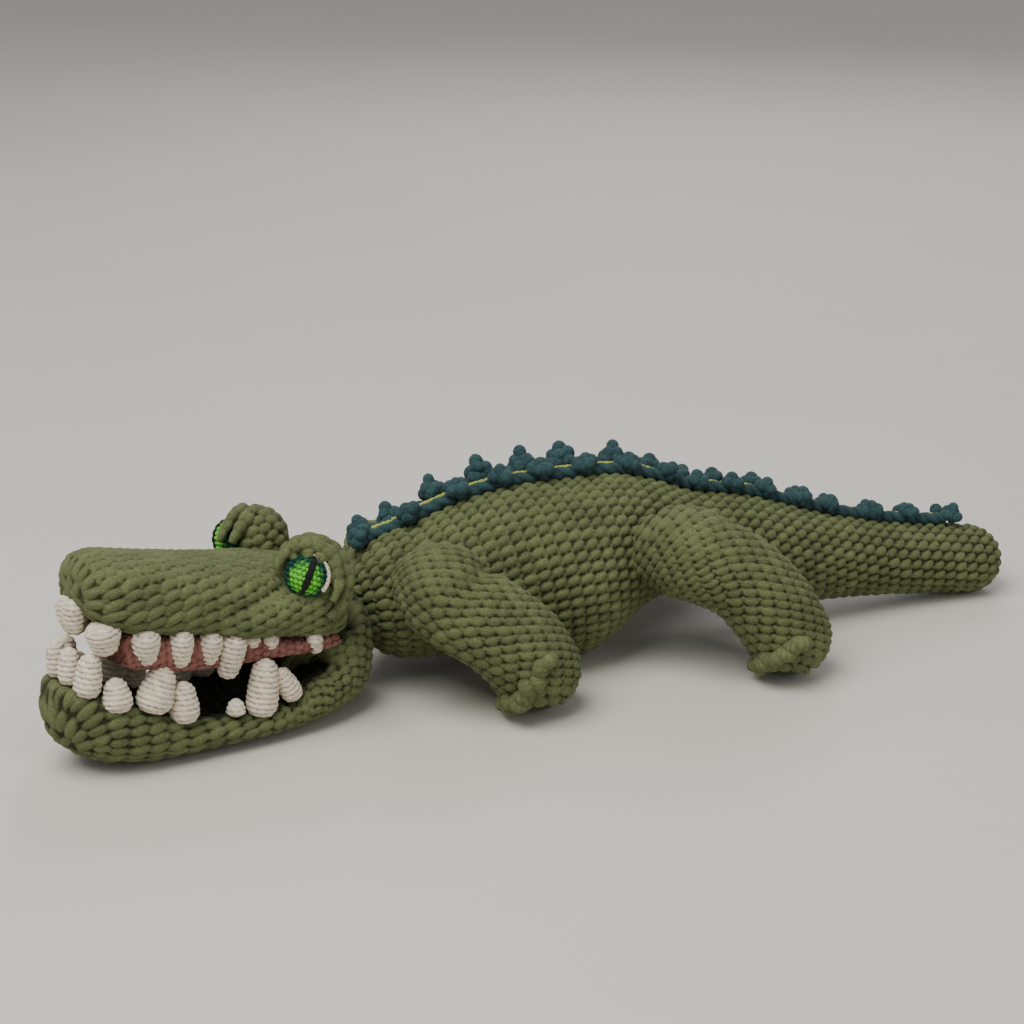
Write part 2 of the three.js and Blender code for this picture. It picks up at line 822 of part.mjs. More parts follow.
addPiece(crocodile, "body_skin", bodySkin, "olive");
addPiece(crocodile, "body_filling", bodyFilling, "wadding");
addPiece(crocodile, "crest_stitching", stitching, "lime");
for (const [name, shape] of crests) addPiece(crocodile, `crest_${name}`, shape, "teal");
for (const leg of legs) {
  for (const [name, side] of sides) {
    const made = makeLeg(leg, name, side);
    addPiece(crocodile, `leg_${leg.name}_${name}_skin`, made.skin, "olive");
    addPiece(crocodile, `leg_${leg.name}_${name}_filling`, made.filling, "wadding");
  }
}
addPiece(head, "jaw_skin", largest(jawSkin), "olive");
addPiece(head, "jaw_filling", largest(jawFilling), "wadding");
addPiece(head, "snout_skin", snoutSkin, "olive");
addPiece(head, "snout_filling", snoutFilling, "wadding");
addPiece(head, "palate", palate, "rust");
for (const [name, side] of sides) {
  const eye = makeEye(side);
  addPiece(head, `eye_mound_${name}`, eye.mound, "olive");
  addPiece(head, `eyelid_${name}`, eye.lid, "olive");
  addPiece(head, `eye_ball_${name}`, eye.ball, "iris");
  addPiece(head, `eye_slit_${name}`, eye.slit, "black");
  upperToothShares.forEach((row, i) => {
    const tooth = makeTooth(row, snoutRows, side, upperRoom);
    addPiece(head, `tooth_upper_${name}_${i + 1}`, tooth, "cotton");
  });
  lowerToothShares.forEach((row, i) => {
    const tooth = makeTooth(row, jawRows, side, lowerRoom);
    addPiece(head, `tooth_lower_${name}_${i + 1}`, tooth, "cotton");
  });
}

export default crocodile;
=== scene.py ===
"""Dresses the frame of the plush crocodile in crocheted chenille yarn.

Each soft piece starts as a grid of points on the outside of its CAD node. The rounds of crochet
are the levels of a field over that grid, stitches are laid along each round, and each stitch
lifts the points under it into a plump lump. The crest and the toes are loops of thick yarn.
"""

import json
import math
from dataclasses import dataclass

import bpy
import numpy as np
from bpy.props import FloatProperty, FloatVectorProperty, PointerProperty
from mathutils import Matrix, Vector
from mathutils.bvhtree import BVHTree


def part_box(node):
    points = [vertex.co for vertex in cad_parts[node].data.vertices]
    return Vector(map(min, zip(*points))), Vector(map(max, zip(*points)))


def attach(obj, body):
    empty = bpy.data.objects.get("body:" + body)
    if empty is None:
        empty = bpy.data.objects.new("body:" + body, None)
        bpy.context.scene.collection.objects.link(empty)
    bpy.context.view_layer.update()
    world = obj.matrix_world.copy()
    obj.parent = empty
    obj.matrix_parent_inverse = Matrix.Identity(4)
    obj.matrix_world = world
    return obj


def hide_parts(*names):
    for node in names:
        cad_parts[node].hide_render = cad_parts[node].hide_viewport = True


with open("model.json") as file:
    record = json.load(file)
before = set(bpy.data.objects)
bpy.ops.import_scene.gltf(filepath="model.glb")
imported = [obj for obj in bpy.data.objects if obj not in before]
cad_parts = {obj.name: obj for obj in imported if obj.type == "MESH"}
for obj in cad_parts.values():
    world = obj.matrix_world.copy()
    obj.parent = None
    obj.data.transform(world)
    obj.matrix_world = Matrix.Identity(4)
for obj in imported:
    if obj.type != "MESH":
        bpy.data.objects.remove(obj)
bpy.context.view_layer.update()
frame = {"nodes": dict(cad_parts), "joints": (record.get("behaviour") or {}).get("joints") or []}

bl_info = {
    "name": "Plush crocodile",
    "version": (1, 0, 0),
    "blender": (4, 5, 0),
    "location": "View3D > Sidebar > Crocodile",
    "description": "Dresses the frame of a crocheted plush crocodile",
    "category": "Object",
}

MM = 0.001
SIDES = (("left", 1.0), ("right", -1.0))

# The frame's own directions and places
JOINTS = {joint["name"]: joint for joint in frame["joints"]}
NECK = np.array(JOINTS["head_turn"]["pos_m"])
TAILWARD = np.array((1.0, 0.0, 0.0))
BODY_LEFT = np.array((0.0, -1.0, 0.0))
UP = np.array((0.0, 0.0, 1.0))
HEAD_LEFT = -np.array(JOINTS["mouth_open"]["axis"])
HEAD_LEFT /= np.linalg.norm(HEAD_LEFT)
NOSEWARD = np.array((HEAD_LEFT[1], -HEAD_LEFT[0], 0.0))
HEAD_AXES = np.stack((NOSEWARD, HEAD_LEFT, UP))
HEAD_START = np.array((NECK[0], NECK[1], 0.0))

# Rays that measure a piece from above, from below and from beside it
OVERHEAD = 0.4
UNDERNEATH = -0.1
BESIDE = 0.15
RAY_REACH = 0.5

# How many points go round each piece. For mounds and eyes, the rows down and the points round
BODY_COLUMNS = 246
LEG_COLUMNS = 216
JAW_COLUMNS = 330
SNOUT_COLUMNS = 280
PALATE_COLUMNS = 120
LID_COLUMNS = 64
TOOTH_COLUMNS = 30
MOUND_ROWS_COLUMNS = (60, 130)
EYE_ROWS_COLUMNS = (90, 170)

# Body and crest. The knots stand at shares of the spine's length behind the neck
SPINE_LENGTH = 377 * MM
TAIL_RADIUS = 21.9 * MM
NECK_RADIUS = 38 * MM
NECK_INSET = 4 * MM
THICKEST_HALF = 55 * MM
CREST_ASIDE = 7 * MM
CREST_SPREAD = 4.6 * MM
CREST_START_SHARE = -0.05
CREST_END_SHARE = 0.955
CHAIN_LIFT = 3.2 * MM
CHAIN_RADIUS = 3.9 * MM
CHAIN_TURN = 17 * MM
SEAM_LIFT = 5 * MM
SEAM_RADIUS = 1.5 * MM
SEAM_TURN = 6 * MM
KNOT_SPREAD = 5.4 * MM
KNOT_LIFT = 5.4 * MM
KNOT_YARN = 3.7 * MM
KNOT_REACH = 2.7 * MM

# Where the body is thick, the knots of the far chain stand higher, on a lower knot of their own
THICK_BODY = (28 * MM, 46 * MM)
KNOT_BACK_LIFT = 2.2 * MM
KNOT_BACK_TALLER = 0.38
KNOT_LAST_TALLER = 0.25
KNOT_BASE_DROP = 3.4 * MM
KNOT_BASE_SIZE = 1.1
KNOT_SHARES = {
    "left": (
        -0.051, 0.024, 0.099, 0.168, 0.231, 0.304, 0.373, 0.44,
        0.493, 0.555, 0.612, 0.677, 0.729, 0.81, 0.883, 0.963,
    ),
    "right": (
        -0.047, 0.004, 0.072, 0.147, 0.214, 0.278, 0.359, 0.419,
        0.475, 0.536, 0.604, 0.684, 0.738, 0.82, 0.892, 0.965,
    ),
}

# Legs. The right-hand legs leave the body lower, so that no shoulder shows over the neck
LEG_RADIUS = 25.6 * MM
SOLE_PRESS = 1.6 * MM
SHOULDER_DROPS = {"left": (0, 0), "right": (8 * MM, 5 * MM)}
LEG_ROOT_DEPTH = 20 * MM
LEG_ROOT_DROP = 9 * MM
LEG_ROOT_SHARE = 0.42
LEG_STEP = 0.9 * MM
ROUNDS_TURN_SHARES = (0.12, 0.72)

# Each stop of a route gives shares of the reach back, of the reach out, of the drop to the foot
# and of the leg's radius. The toes are three ways out of the foot's middle, and the rounds face
# the first of their two ways at the shoulder and the second at the foot. A fold has its place as
# a share of the leg, its reach, the swell above it, its depth and the way that it faces
LEGS = {
    "front": {
        "reach_back": 54 * MM, "reach_out": 30.5 * MM,
        "route": (
            (0, 0, 0, 0.94), (0.19, 0.56, 0.16, 0.99), (0.57, 0.885, 0.385, 1.01),
            (0.83, 1.08, 0.654, 1.02), (1, 1, 1, 1),
        ),
        "toes": ((-0.75, -0.25, -0.62), (-0.554, -0.812, -0.181), (-0.037, -0.883, 0.468)),
        "rounds": ((-0.2, -0.75, -0.6), (-0.05, -0.55, -0.83)),
        "fold": (0.44, 17 * MM, 5 * MM, 4 * MM, (0.3, -0.4, 0.85)),
    },
    "hind": {
        "reach_back": 64.6 * MM, "reach_out": 36 * MM,
        "route": (
            (0, 0, 0, 1.01), (0.23, 0.44, 0, 1.03), (0.57, 0.78, 0.21, 0.96),
            (0.826, 1, 0.603, 0.99), (1, 1, 1, 0.96),
        ),
        "toes": ((-0.87, -0.15, -0.6), (-0.7, -0.66, -0.281), (-0.163, -0.973, 0.166)),
        "rounds": ((0.6, -0.5, -0.45), (-0.25, -0.45, -0.86)),
        "fold": (0.44, 20 * MM, 2 * MM, 1 * MM, (0.3, -0.4, 0.85)),
    },
}
TOE_REACH_SHARE = 0.97
TOE_SIZES = (0.9, 1.15, 1.1)
TOE_LUMPS = 9
TOE_YARN = 4.1 * MM

# The head, in its own frame: ahead of the neck, out to the side, height
JAW_START = 60 * MM
JAW_BACK_DEPTH = 30 * MM
JAW_TIP_DEPTH = 26 * MM
# How far the olive is darkened inside the mouth, a painted shade
MOUTH_SHADE_LEVEL = 0.14
SNOUT_END_DEPTH = 14 * MM
PALATE_END_DEPTH = 8 * MM
PALATE_STEP = 1.3 * MM
PALATE_ROUND = 4.6 * MM
CHEEK_VALLEY = (95 * MM, 87 * MM)
CHEEK_FALL = 0.224
CHEEK_SWELL = 3.5 * MM
CHEEK_DIP = 2.5 * MM
PALATE_SAG = 13 * MM
HINGE_ROOM = 4 * MM

# Teeth. A front tooth may sink into the lip by less of its length than one of the cheek
TOOTH_SUNK = 2.2 * MM
TOOTH_INWARD = 2.0 * MM
TOOTH_BEND = 2.4 * MM
FRONT_TEETH = 190 * MM
FRONT_HELD_SHARE = 0.18
CHEEK_HELD_SHARE = 0.45
ROUND_TOOTH = "tooth_lower_left_6"
ROUND_TOOTH_SHARE = 0.74
ROUND_TOOTH_SPAN = (-0.3, 0.55)

# Eyes, in the same frame
EYES = {
    "left": {"place": (83.4 * MM, 34.4 * MM, 91.8 * MM), "look": 64.0},
    "right": {"place": (87.2 * MM, -34.4 * MM, 92.4 * MM), "look": -34.0},
}
MOUND_PLACE = (77.2 * MM, 28.5 * MM, 92.0 * MM)
MOUND_RADIUS = 17.5 * MM
MOUND_TALL = 19 * MM
EYE_RADIUS = 12.3 * MM
EYE_RISE = 19.0
MOUND_ROUND = 6.4 * MM
EYE_ROUND = 2.9 * MM
LID_ROUND = 6.6 * MM
LID_LOOK = 57.0
SLIT_LEAN = 24.0
SLIT_REACH = 62.0
SLIT_RADIUS = 2.3 * MM
SLIT_BUMPS = 7
BRIGHT_AHEAD = 0.24
BRIGHT_BELOW = 0.2
EYE_SEAT_GAP = 2.2 * MM
EYE_SEAT_DEPTH = 1.5 * MM

# Round each eye: how far ahead of its middle, the reaches out, the first and last angle, the radius
LID_ROLL = (
    3.4 * MM, (19.5 * MM, 16.2 * MM, 16.6 * MM, 16.8 * MM, 16.8 * MM), -48, 168, 3.5 * MM
)
BROW_ROLL = (
    -4.0 * MM, (26 * MM, 21.5 * MM, 18.6 * MM, 18 * MM, 17.5 * MM), -66, 160, 4.6 * MM
)
RIM_ROLL = (5.6 * MM, 11.6 * MM, -48, 96, (1.5 * MM, 0.7 * MM))
RIM_TURN = 5.6 * MM

# Lights: place, what each looks at, size in metres, watts and colour
LIGHTS = {
    "key": ((-0.9, -0.5, 1.9), (0.0, 0.0, 0.05), 1.5, 50.0, (1.0, 0.99, 0.96)),
    "fill": ((1.3, -2.1, 1.2), (0.1, 0.0, 0.05), 1.4, 13.0, (1.0, 0.97, 0.92)),
    "rim": ((0.9, 1.5, 1.3), (0.0, 0.0, 0.05), 1.2, 12.0, (0.95, 0.97, 1.0)),
}
SKY_COLOUR = (0.78, 0.81, 0.86, 1.0)
SKY_STRENGTH = 0.46
FLOOR_COLOUR = (0.62, 0.58, 0.52)
FLOOR_HALF = 6.0

# The photograph's view
CAMERA_PLACE = (-0.443, -1.1307, 0.529)
CAMERA_AZIMUTH = -20
CAMERA_ELEVATION = 20
CAMERA_SENSOR = 36.0
FOCAL_PIXELS = 2200
PHOTO_PIXELS = 1024

# How a round is read off its field, and how small and how far a stitch may be
ROUND_EARLY = 0.15
ROUND_LATE = 0.85
SHORTEST_SHARE = 0.45
STITCH_REACH = 0.775
POLE_LUMP_SHARE = 0.8
SCATTER_WEIGHTS = (12.9898, 78.233, 37.719)
SCATTER_SCALE = 43758.5453


class YarnColours(bpy.types.PropertyGroup):
    """The colours of the yarns."""

    olive: FloatVectorProperty(
        name="Olive", description="Chenille of the body, legs and head",
        subtype="COLOR", default=(0.117, 0.136, 0.056), min=0, max=1,
    )
    teal: FloatVectorProperty(
        name="Teal", description="Chenille of the crest",
        subtype="COLOR", default=(0.028, 0.065, 0.069), min=0, max=1,
    )
    lime: FloatVectorProperty(
        name="Lime", description="Thread of the seam between the crest's chains",
        subtype="COLOR", default=(0.42, 0.45, 0.09), min=0, max=1,
    )
    rust: FloatVectorProperty(
        name="Rust", description="Yarn of the palate",
        subtype="COLOR", default=(0.25, 0.105, 0.085), min=0, max=1,
    )
    cotton: FloatVectorProperty(
        name="Cotton", description="Cotton of the teeth and of the rim of the eyes",
        subtype="COLOR", default=(0.72, 0.64, 0.5), min=0, max=1,
    )
    iris: FloatVectorProperty(
        name="Iris", description="The bright middle of the eyes",
        subtype="COLOR", default=(0.12, 0.5, 0.04), min=0, max=1,
    )
    iris_edge: FloatVectorProperty(
        name="Iris edge", description="The dark edge of the eyes",
        subtype="COLOR", default=(0.005, 0.045, 0.035), min=0, max=1,
    )
    # This yarn colours the slits. The dark inside the mouth is painted shade on the olive, not this yarn
    dark: FloatVectorProperty(
        name="Dark", description="Yarn of the slits and of the mouth's lining",
        subtype="COLOR", default=(0.009, 0.01, 0.008), min=0, max=1,
    )


class StitchSizes(bpy.types.PropertyGroup):
    """The sizes of the stitches and of the mesh that carries them."""

    body_length: FloatProperty(
        name="Body stitch length", description="Along the body, from one round to the next",
        default=8.2 * MM, unit="LENGTH",
    )
    body_width: FloatProperty(
        name="Body stitch width", description="Round the body, from one stitch to the next",
        default=6.7 * MM, unit="LENGTH",
    )
    leg_length: FloatProperty(
        name="Leg round", description="Down a leg, from one round to the next",
        default=4.7 * MM, unit="LENGTH",
    )
    leg_width: FloatProperty(
        name="Leg stitch width", description="Round a leg, from one stitch to the next",
        default=9.2 * MM, unit="LENGTH",
    )
    head_length: FloatProperty(
        name="Head stitch length", description="Along the snout and the jaw",
        default=9.4 * MM, unit="LENGTH",
    )
    head_width: FloatProperty(
        name="Head stitch width", description="Round the snout and the jaw",
        default=6.2 * MM, unit="LENGTH",
    )
    tooth_rib: FloatProperty(
        name="Tooth rib", description="From one round of a tooth to the next",
        default=2.9 * MM, unit="LENGTH",
    )
    mesh_step: FloatProperty(
        name="Mesh step", description="From one row of points to the next on the large pieces",
        default=1.15 * MM, unit="LENGTH",
    )


# Small mathematics

def scatter(*keys):
    """A number from 0 to 1 for each set of numbers, the same on every run."""
    mixed = sum(key * weight for key, weight in zip(keys, SCATTER_WEIGHTS))
    return np.abs(np.sin(mixed) * SCATTER_SCALE) % 1.0


def unit(vectors):
    """The vectors, each made one long."""
    vectors = np.asarray(vectors, float)
    return vectors / np.maximum(np.linalg.norm(vectors, axis=-1, keepdims=True), 1e-12)


def eased(value, low, high):
    """0 below low, 1 above high, and a smooth step between."""
    part = np.clip((value - low) / (high - low), 0, 1)
    return part * part * (3 - 2 * part)


def softened(field, down, across):
    """The field blurred over that many rows and columns, where the columns go round."""
    for axis, width, way in ((0, down, "edge"), (1, across, "wrap")):
        if width <= 0:
            continue
        reach = int(3 * width) + 1
        weights = np.exp(-0.5 * (np.arange(-reach, reach + 1) / width) ** 2)
        weights /= weights.sum()
        pad = [(0, 0), (0, 0)]
        pad[axis] = (reach, reach)
        wide = np.pad(field, pad, mode=way)
        count = field.shape[axis]
        field = sum(
            weight * np.take(wide, np.arange(i, i + count), axis=axis)
            for i, weight in enumerate(weights)
        )
    return field


def blurred_line(values, width):
    """A row of values or points blurred over that many places."""
    values = np.asarray(values, float)
    table = values.reshape(len(values), -1)
    return softened(table, width, 0).reshape(values.shape)


def head_point(ahead, left, height):
    """A place given in the head's frame, in the part's frame."""
    return HEAD_START + np.array((ahead, left, height)) @ HEAD_AXES


def in_head(points):
    """Places given in the part's frame, in the head's frame."""
    return (points - HEAD_START) @ HEAD_AXES.T


# Measuring the frame

def node_points(node):
    """The corners of a CAD node."""
    return np.array([v.co for v in frame["nodes"][node].data.vertices], float)


def surface_tree(*nodes):
    """The faces of some CAD nodes, ready for rays."""
    corners, faces = [], []
    for node in nodes:
        mesh = frame["nodes"][node].data
        faces += [[len(corners) + corner for corner in p.vertices] for p in mesh.polygons]
        corners += [v.co.copy() for v in mesh.vertices]
    return BVHTree.FromPolygons(corners, faces)


def teeth_tree(jaw):
    """The teeth of one jaw, ready for rays."""
    return surface_tree(*(name for name in frame["nodes"] if name.startswith("tooth_" + jaw)))


def met_from_outside(tree, starts, ways, reach):
    """How far from each start a surface lies along each way, as seen from outside."""
    found = np.full(len(starts), np.nan)
    for i, (start, way) in enumerate(zip(starts, ways)):
        hit = tree.ray_cast(Vector(start + way * reach), Vector(-way), reach)
        if hit[0] is not None:
            found[i] = reach - hit[3]
    return found


def met_across(tree, starts, way):
    """How far from each start a surface lies. Where there is none, as at the nearest start."""
    hits = [tree.ray_cast(Vector(start), Vector(way), RAY_REACH)[3] for start in starts]
    found = np.array([np.nan if hit is None else hit for hit in hits])
    known = np.isfinite(found)
    rows = np.arange(len(found))
    return np.interp(rows, rows[known], found[known])


def filled_in(field):
    """The field with its gaps filled from the rows before and after."""
    rows = np.arange(len(field))
    for column in range(field.shape[1]):
        known = np.isfinite(field[:, column])
        if not known.all():
            field[:, column] = np.interp(rows, rows[known], field[known, column])
    return field


# Grids of points that wrap round a piece

def round_angles(count, fine=2.2, coarse=0.5):
    """Angles from the seam underneath over the top and back, closer together above."""
    even = np.linspace(-math.pi, math.pi, 721)
    weight = np.where(np.abs(even) < fine, 1.0, coarse)
    total = np.concatenate(([0], np.cumsum((weight[1:] + weight[:-1]) / 2)))
    return np.interp(np.arange(count) / count * total[-1], total, even)


@dataclass
class Rows:
    """Where the rows of a wrap start, how wide they reach and how they tilt over the ends."""

    starts: np.ndarray
    radii: np.ndarray
    tilts: np.ndarray

    @classmethod
    def along(cls, line, radii, step, first_depth=0.0, last_depth=0.0):
        """Rows down a line. A depth gives that end rows that fan over it."""
        radii = np.asarray(radii, float)
        radii = np.column_stack((radii, np.ones(len(line)) * max(first_depth, last_depth, step)))
        before = cls.fan(first_depth, radii[0], step)
        after = cls.fan(last_depth, radii[-1], step)
        starts = [np.repeat(line[:1], len(before), 0), line, np.repeat(line[-1:], len(after), 0)]
        first = np.repeat(radii[:1], len(before), 0)
        last = np.repeat(radii[-1:], len(after), 0)
        first[:, 2] = first_depth
        last[:, 2] = last_depth
        return cls(
            np.concatenate(starts),
            np.concatenate((first, radii, last)),
            np.concatenate((-before[::-1], np.zeros(len(line)), after)),
        )

    @staticmethod
    def fan(depth, radii, step):
        """The tilts of the rows over one end, from nearly upright to nearly end on."""
        if depth <= 0:
            return np.zeros(0)
        count = max(4, int((depth + max(radii[0], radii[1])) / 2 * math.pi / 2 / step))
        return (np.arange(count) + 1) / (count + 0.5) * math.pi / 2

    def offsets(self, axis, side, angles):
        """From each row's start to an ellipsoid of the row's radii, at each angle."""
        tall, wide, deep = (self.radii[:, i, None, None] for i in range(3))
        flat = np.cos(self.tilts)[:, None, None]
        end_on = np.sin(self.tilts)[:, None, None]
        above = np.cos(angles)[None, :, None] * UP
        beside = np.sin(angles)[None, :, None] * side
        return flat * (tall * above + wide * beside) + deep * end_on * axis


def wrap(tree, rows, axis, side, angles, soften, covers=None, reach=0.2):
    """A grid of points on a CAD node's outside, with its facets smoothed away.

    Where something sewn on covers the node, the rows before and after fill the place.
    """
    offsets = rows.offsets(axis, side, angles)
    lengths = np.linalg.norm(offsets, axis=2)
    ways = (offsets / lengths[..., None]).reshape(-1, 3)
    starts = np.broadcast_to(rows.starts[:, None], offsets.shape).reshape(-1, 3)
    found = met_from_outside(tree, starts, ways, reach)
    if covers:
        covered = met_from_outside(covers, starts, ways, reach)
        found[covered > found - 0.2 * MM] = np.nan
    ratio = softened(filled_in(found.reshape(lengths.shape) / lengths), *soften)
    return rows.starts[:, None] + offsets * ratio[..., None]


def tube_grid(path, radii, angles, outward, round_end=0.0):
    """A grid round a path. The angles start opposite the outward direction at the path's end."""
    path = np.asarray(path, float)
    ahead = unit(np.gradient(path, axis=0))
    first = np.zeros_like(path)
    first[-1] = unit(outward - ahead[-1] * np.dot(outward, ahead[-1]))
    for i in range(len(path) - 2, -1, -1):
        first[i] = unit(first[i + 1] - ahead[i] * np.dot(first[i + 1], ahead[i]))
    second = np.cross(ahead, first)
    around = np.cos(angles)[None, :, None] * first[:, None]
    around = around + np.sin(angles)[None, :, None] * second[:, None]
    grid = path[:, None] + around * np.asarray(radii)[:, None, None]
    if round_end > 0:
        count = max(4, int(radii[-1] * math.pi / 2 / round_end))
        tilts = (np.arange(count) + 1) / (count + 0.5) * math.pi / 2
        flat = np.cos(tilts)[:, None, None]
        end_on = np.sin(tilts)[:, None, None]
        cap = path[-1] + radii[-1] * (flat * around[-1][None] + end_on * ahead[-1])
        grid = np.concatenate((grid, cap))
    return grid


def ball_grid(centre, radii, axes, rows, columns):
    """A grid over an ellipsoid whose first axis is its pole."""
    tilts = (np.arange(rows) + 0.5) / rows * math.pi
    angles = np.arange(columns) / columns * 2 * math.pi
    pole, first, second = (np.asarray(axis) * radius for axis, radius in zip(axes, radii))
    around = np.cos(angles)[None, :, None] * first + np.sin(angles)[None, :, None] * second
    return centre + np.cos(tilts)[:, None, None] * pole + np.sin(tilts)[:, None, None] * around


def outward_normals(grid):
    """The normal at each point of a grid, facing out, and whether the grid winds inward."""
    down = np.gradient(grid, axis=0)
    around = np.roll(grid, -1, axis=1) - np.roll(grid, 1, axis=1)
    normals = unit(np.cross(down, around))
    facing = np.einsum("ijk,ijk->ij", normals, grid - grid.mean(axis=1, keepdims=True))
    inward = facing.mean() < 0
    return (-normals if inward else normals), inward


# Crochet

@dataclass
class Lump:
    """One plump lump of a stitch. Its place and half sizes are shares of the stitch's size."""

    onward: float = 0.0
    sideways: float = 0.0
    half_long: float = 0.55
    half_wide: float = 0.5
    lean: float = 0.0
    height: float = 1.0


@dataclass
class Knit:
    """How a piece is crocheted: the size of its stitches and the way they lie.

    Each round starts a shift of a stitch on from the last. The depth may change over the grid, and
    proud is how far the stitches stand off it. No stitch is longer than most. Where the grid faces
    up by more than halved_above, a stitch is drawn as two short ones.
    """

    width: float
    depth: float
    lumps: tuple = (Lump(),)
    shift: float = 0.5
    proud: float = 0.0
    most: float = 14 * MM
    halved_above: float = 2.0


@dataclass
class Stitch:
    """One stitch on a grid: its place, its frame and the size of the cell that it fills."""

    row: int
    column: int
    centre: np.ndarray
    onward: np.ndarray
    sideways: np.ndarray
    long: float
    wide: float
    luck: float
    halved: bool


def even_rounds(grid, pitch, slope=0.0):
    """The count of rounds down to each point. The pitch may change from row to row."""
    steps = np.linalg.norm(np.diff(grid, axis=0), axis=2).mean(axis=1)
    pitches = np.broadcast_to(pitch, (len(grid),))
    down = np.concatenate(([0], np.cumsum(steps / pitches[1:])))
    down *= max(round(down[-1]), 1) / down[-1]
    around = np.linalg.norm(np.roll(grid, -1, axis=1) - grid, axis=2)
    run = np.cumsum(around, axis=1) - around
    middle = run[:, [grid.shape[1] // 2]]
    return down[:, None] + slope * (run - middle) / pitches[:, None]


def crossing(grid, field, level):
    """Where each column of a grid crosses a level of its field, and which columns do."""
    below = (field < level).sum(axis=0)
    row = np.clip(below, 1, len(field) - 1)
    columns = np.arange(field.shape[1])
    before, after = field[row - 1, columns], field[row, columns]
    part = np.clip((level - before) / np.maximum(after - before, 1e-9), 0, 1)[:, None]
    places = grid[row - 1, columns] * (1 - part) + grid[row, columns] * part
    return row, places, (below > 0) & (below < len(field))


def laid_stitches(grid, field, knit, normals):
    """Stitches laid along each round of a field, in step from the middle column outward."""
    field = np.maximum.accumulate(field, axis=0)
    columns = grid.shape[1]
    laid = []
    for turn in range(math.floor(field.min()), math.ceil(field.max())):
        row, places, met = crossing(grid, field, turn + 0.5)
        if met.sum() < 4:
            continue
        early = crossing(grid, field, turn + ROUND_EARLY)[1]
        late = crossing(grid, field, turn + ROUND_LATE)[1]
        apart = (late - early) / (ROUND_LATE - ROUND_EARLY)
        steps = np.linalg.norm(np.diff(places, axis=0), axis=1) * met[1:] * met[:-1]
        run = np.concatenate(([0], np.cumsum(steps)))
        run -= run[columns // 2]
        offset = (turn * knit.shift) % 1.0
        first = math.ceil(run[0] / knit.width - offset)
        last = math.floor(run[-1] / knit.width - offset)
        for index in range(first, last + 1):
            wanted = (index + offset) * knit.width
            at = np.interp(wanted, run, np.arange(columns))
            near = min(int(round(at)), columns - 2)
            if not met[near]:
                continue
            centre = np.array([np.interp(at, np.arange(columns), places[:, i]) for i in range(3)])
            lower, upper = max(near - 2, 0), min(near + 2, columns - 1)
            way = unit(places[upper] - places[lower])
            normal = normals[row[near], near]
            onward = unit(np.cross(normal, way))
            long = np.dot(onward, apart[near])
            if long < 0:
                onward = -onward
            laid.append(Stitch(
                int(row[near]), near, centre, onward, way,
                float(np.clip(abs(long), SHORTEST_SHARE * knit.width, knit.most)), knit.width,
                float(scatter(np.array(float(turn)), np.array(float(index)))),
                bool(normal[2] > knit.halved_above),
            ))
    return laid


def stitched(grid, field, knit, normals):
    """The stitches' height, tone and run of the yarn at each point of a grid.

    Each lump is half an ellipsoid, and the highest one wins. A round lump closes each pole.
    """
    rows, columns = grid.shape[:2]
    crown = np.zeros((rows, columns))
    tone = np.full((rows, columns), 0.5)
    run = np.zeros((rows, columns))
    row_steps = np.linalg.norm(np.gradient(grid, axis=0), axis=2).mean(axis=1)
    column_steps = np.linalg.norm(np.roll(grid, -1, axis=1) - grid, axis=2)
    for stitch in laid_stitches(grid, field, knit, normals):
        reach = STITCH_REACH * max(stitch.long, stitch.wide)
        tall = min(int(reach / max(row_steps[stitch.row], 1e-5)) + 1, 40)
        wide = min(
            int(reach / max(column_steps[stitch.row, stitch.column], 1e-5)) + 1, columns // 2 - 1
        )
        down = slice(max(stitch.row - tall, 0), min(stitch.row + tall + 1, rows))
        across = np.arange(stitch.column - wide, stitch.column + wide + 1) % columns
        away = grid[down][:, across] - stitch.centre
        onward = away @ stitch.onward
        sideways = away @ stitch.sideways
        near = (away ** 2).sum(axis=2) < (2.2 * reach) ** 2
        size = 0.94 + 0.12 * stitch.luck
        spots = ((-0.25, 0.5), (0.25, 0.5)) if stitch.halved else ((0.0, 1.0),)
        for start, share in spots:
            long = stitch.long * share
            for lump in knit.lumps:
                lean = math.radians(lump.lean + 10 * (stitch.luck - 0.5))
                on = onward - (start * stitch.long + lump.onward * long)
                over = sideways - lump.sideways * stitch.wide
                along = math.cos(lean) * on + math.sin(lean) * over
                beside = math.cos(lean) * over - math.sin(lean) * on
                shape = 1 - (along / (lump.half_long * long * size)) ** 2
                shape = shape - (beside / (lump.half_wide * stitch.wide * size)) ** 2
                stands = np.sqrt(np.clip(shape, 0, None)) * lump.height * (0.9 + 0.1 * stitch.luck)
                held = crown[down][:, across]
                higher = near & (stands > held)
                window = np.ix_(range(down.start, down.stop), across)
                crown[window] = np.where(higher, stands, held)
                tone[window] = np.where(higher, stitch.luck, tone[window])
                run[window] = np.where(higher, along / MM, run[window])
    for end in (0, -1):
        far = np.linalg.norm(grid - grid[end].mean(axis=0), axis=2) / (POLE_LUMP_SHARE * knit.width)
        crown = np.maximum(crown, np.sqrt(np.clip(1 - far ** 2, 0, None)))
    return crown, tone, run


def link(name, mesh, material):
    """A new object in the scene with that mesh and material, shaded smooth."""
    mesh.materials.append(material)
    mesh.polygons.foreach_set("use_smooth", np.ones(len(mesh.polygons), bool))
    piece = bpy.data.objects.new(name, mesh)
    bpy.context.scene.collection.objects.link(piece)
    return piece


def add_layer(mesh, name, values):
    """A value for each point of a mesh, for the materials to read."""
    layer = mesh.attributes.new(name, "FLOAT", "POINT")
    layer.data.foreach_set("value", np.asarray(values, np.float32))


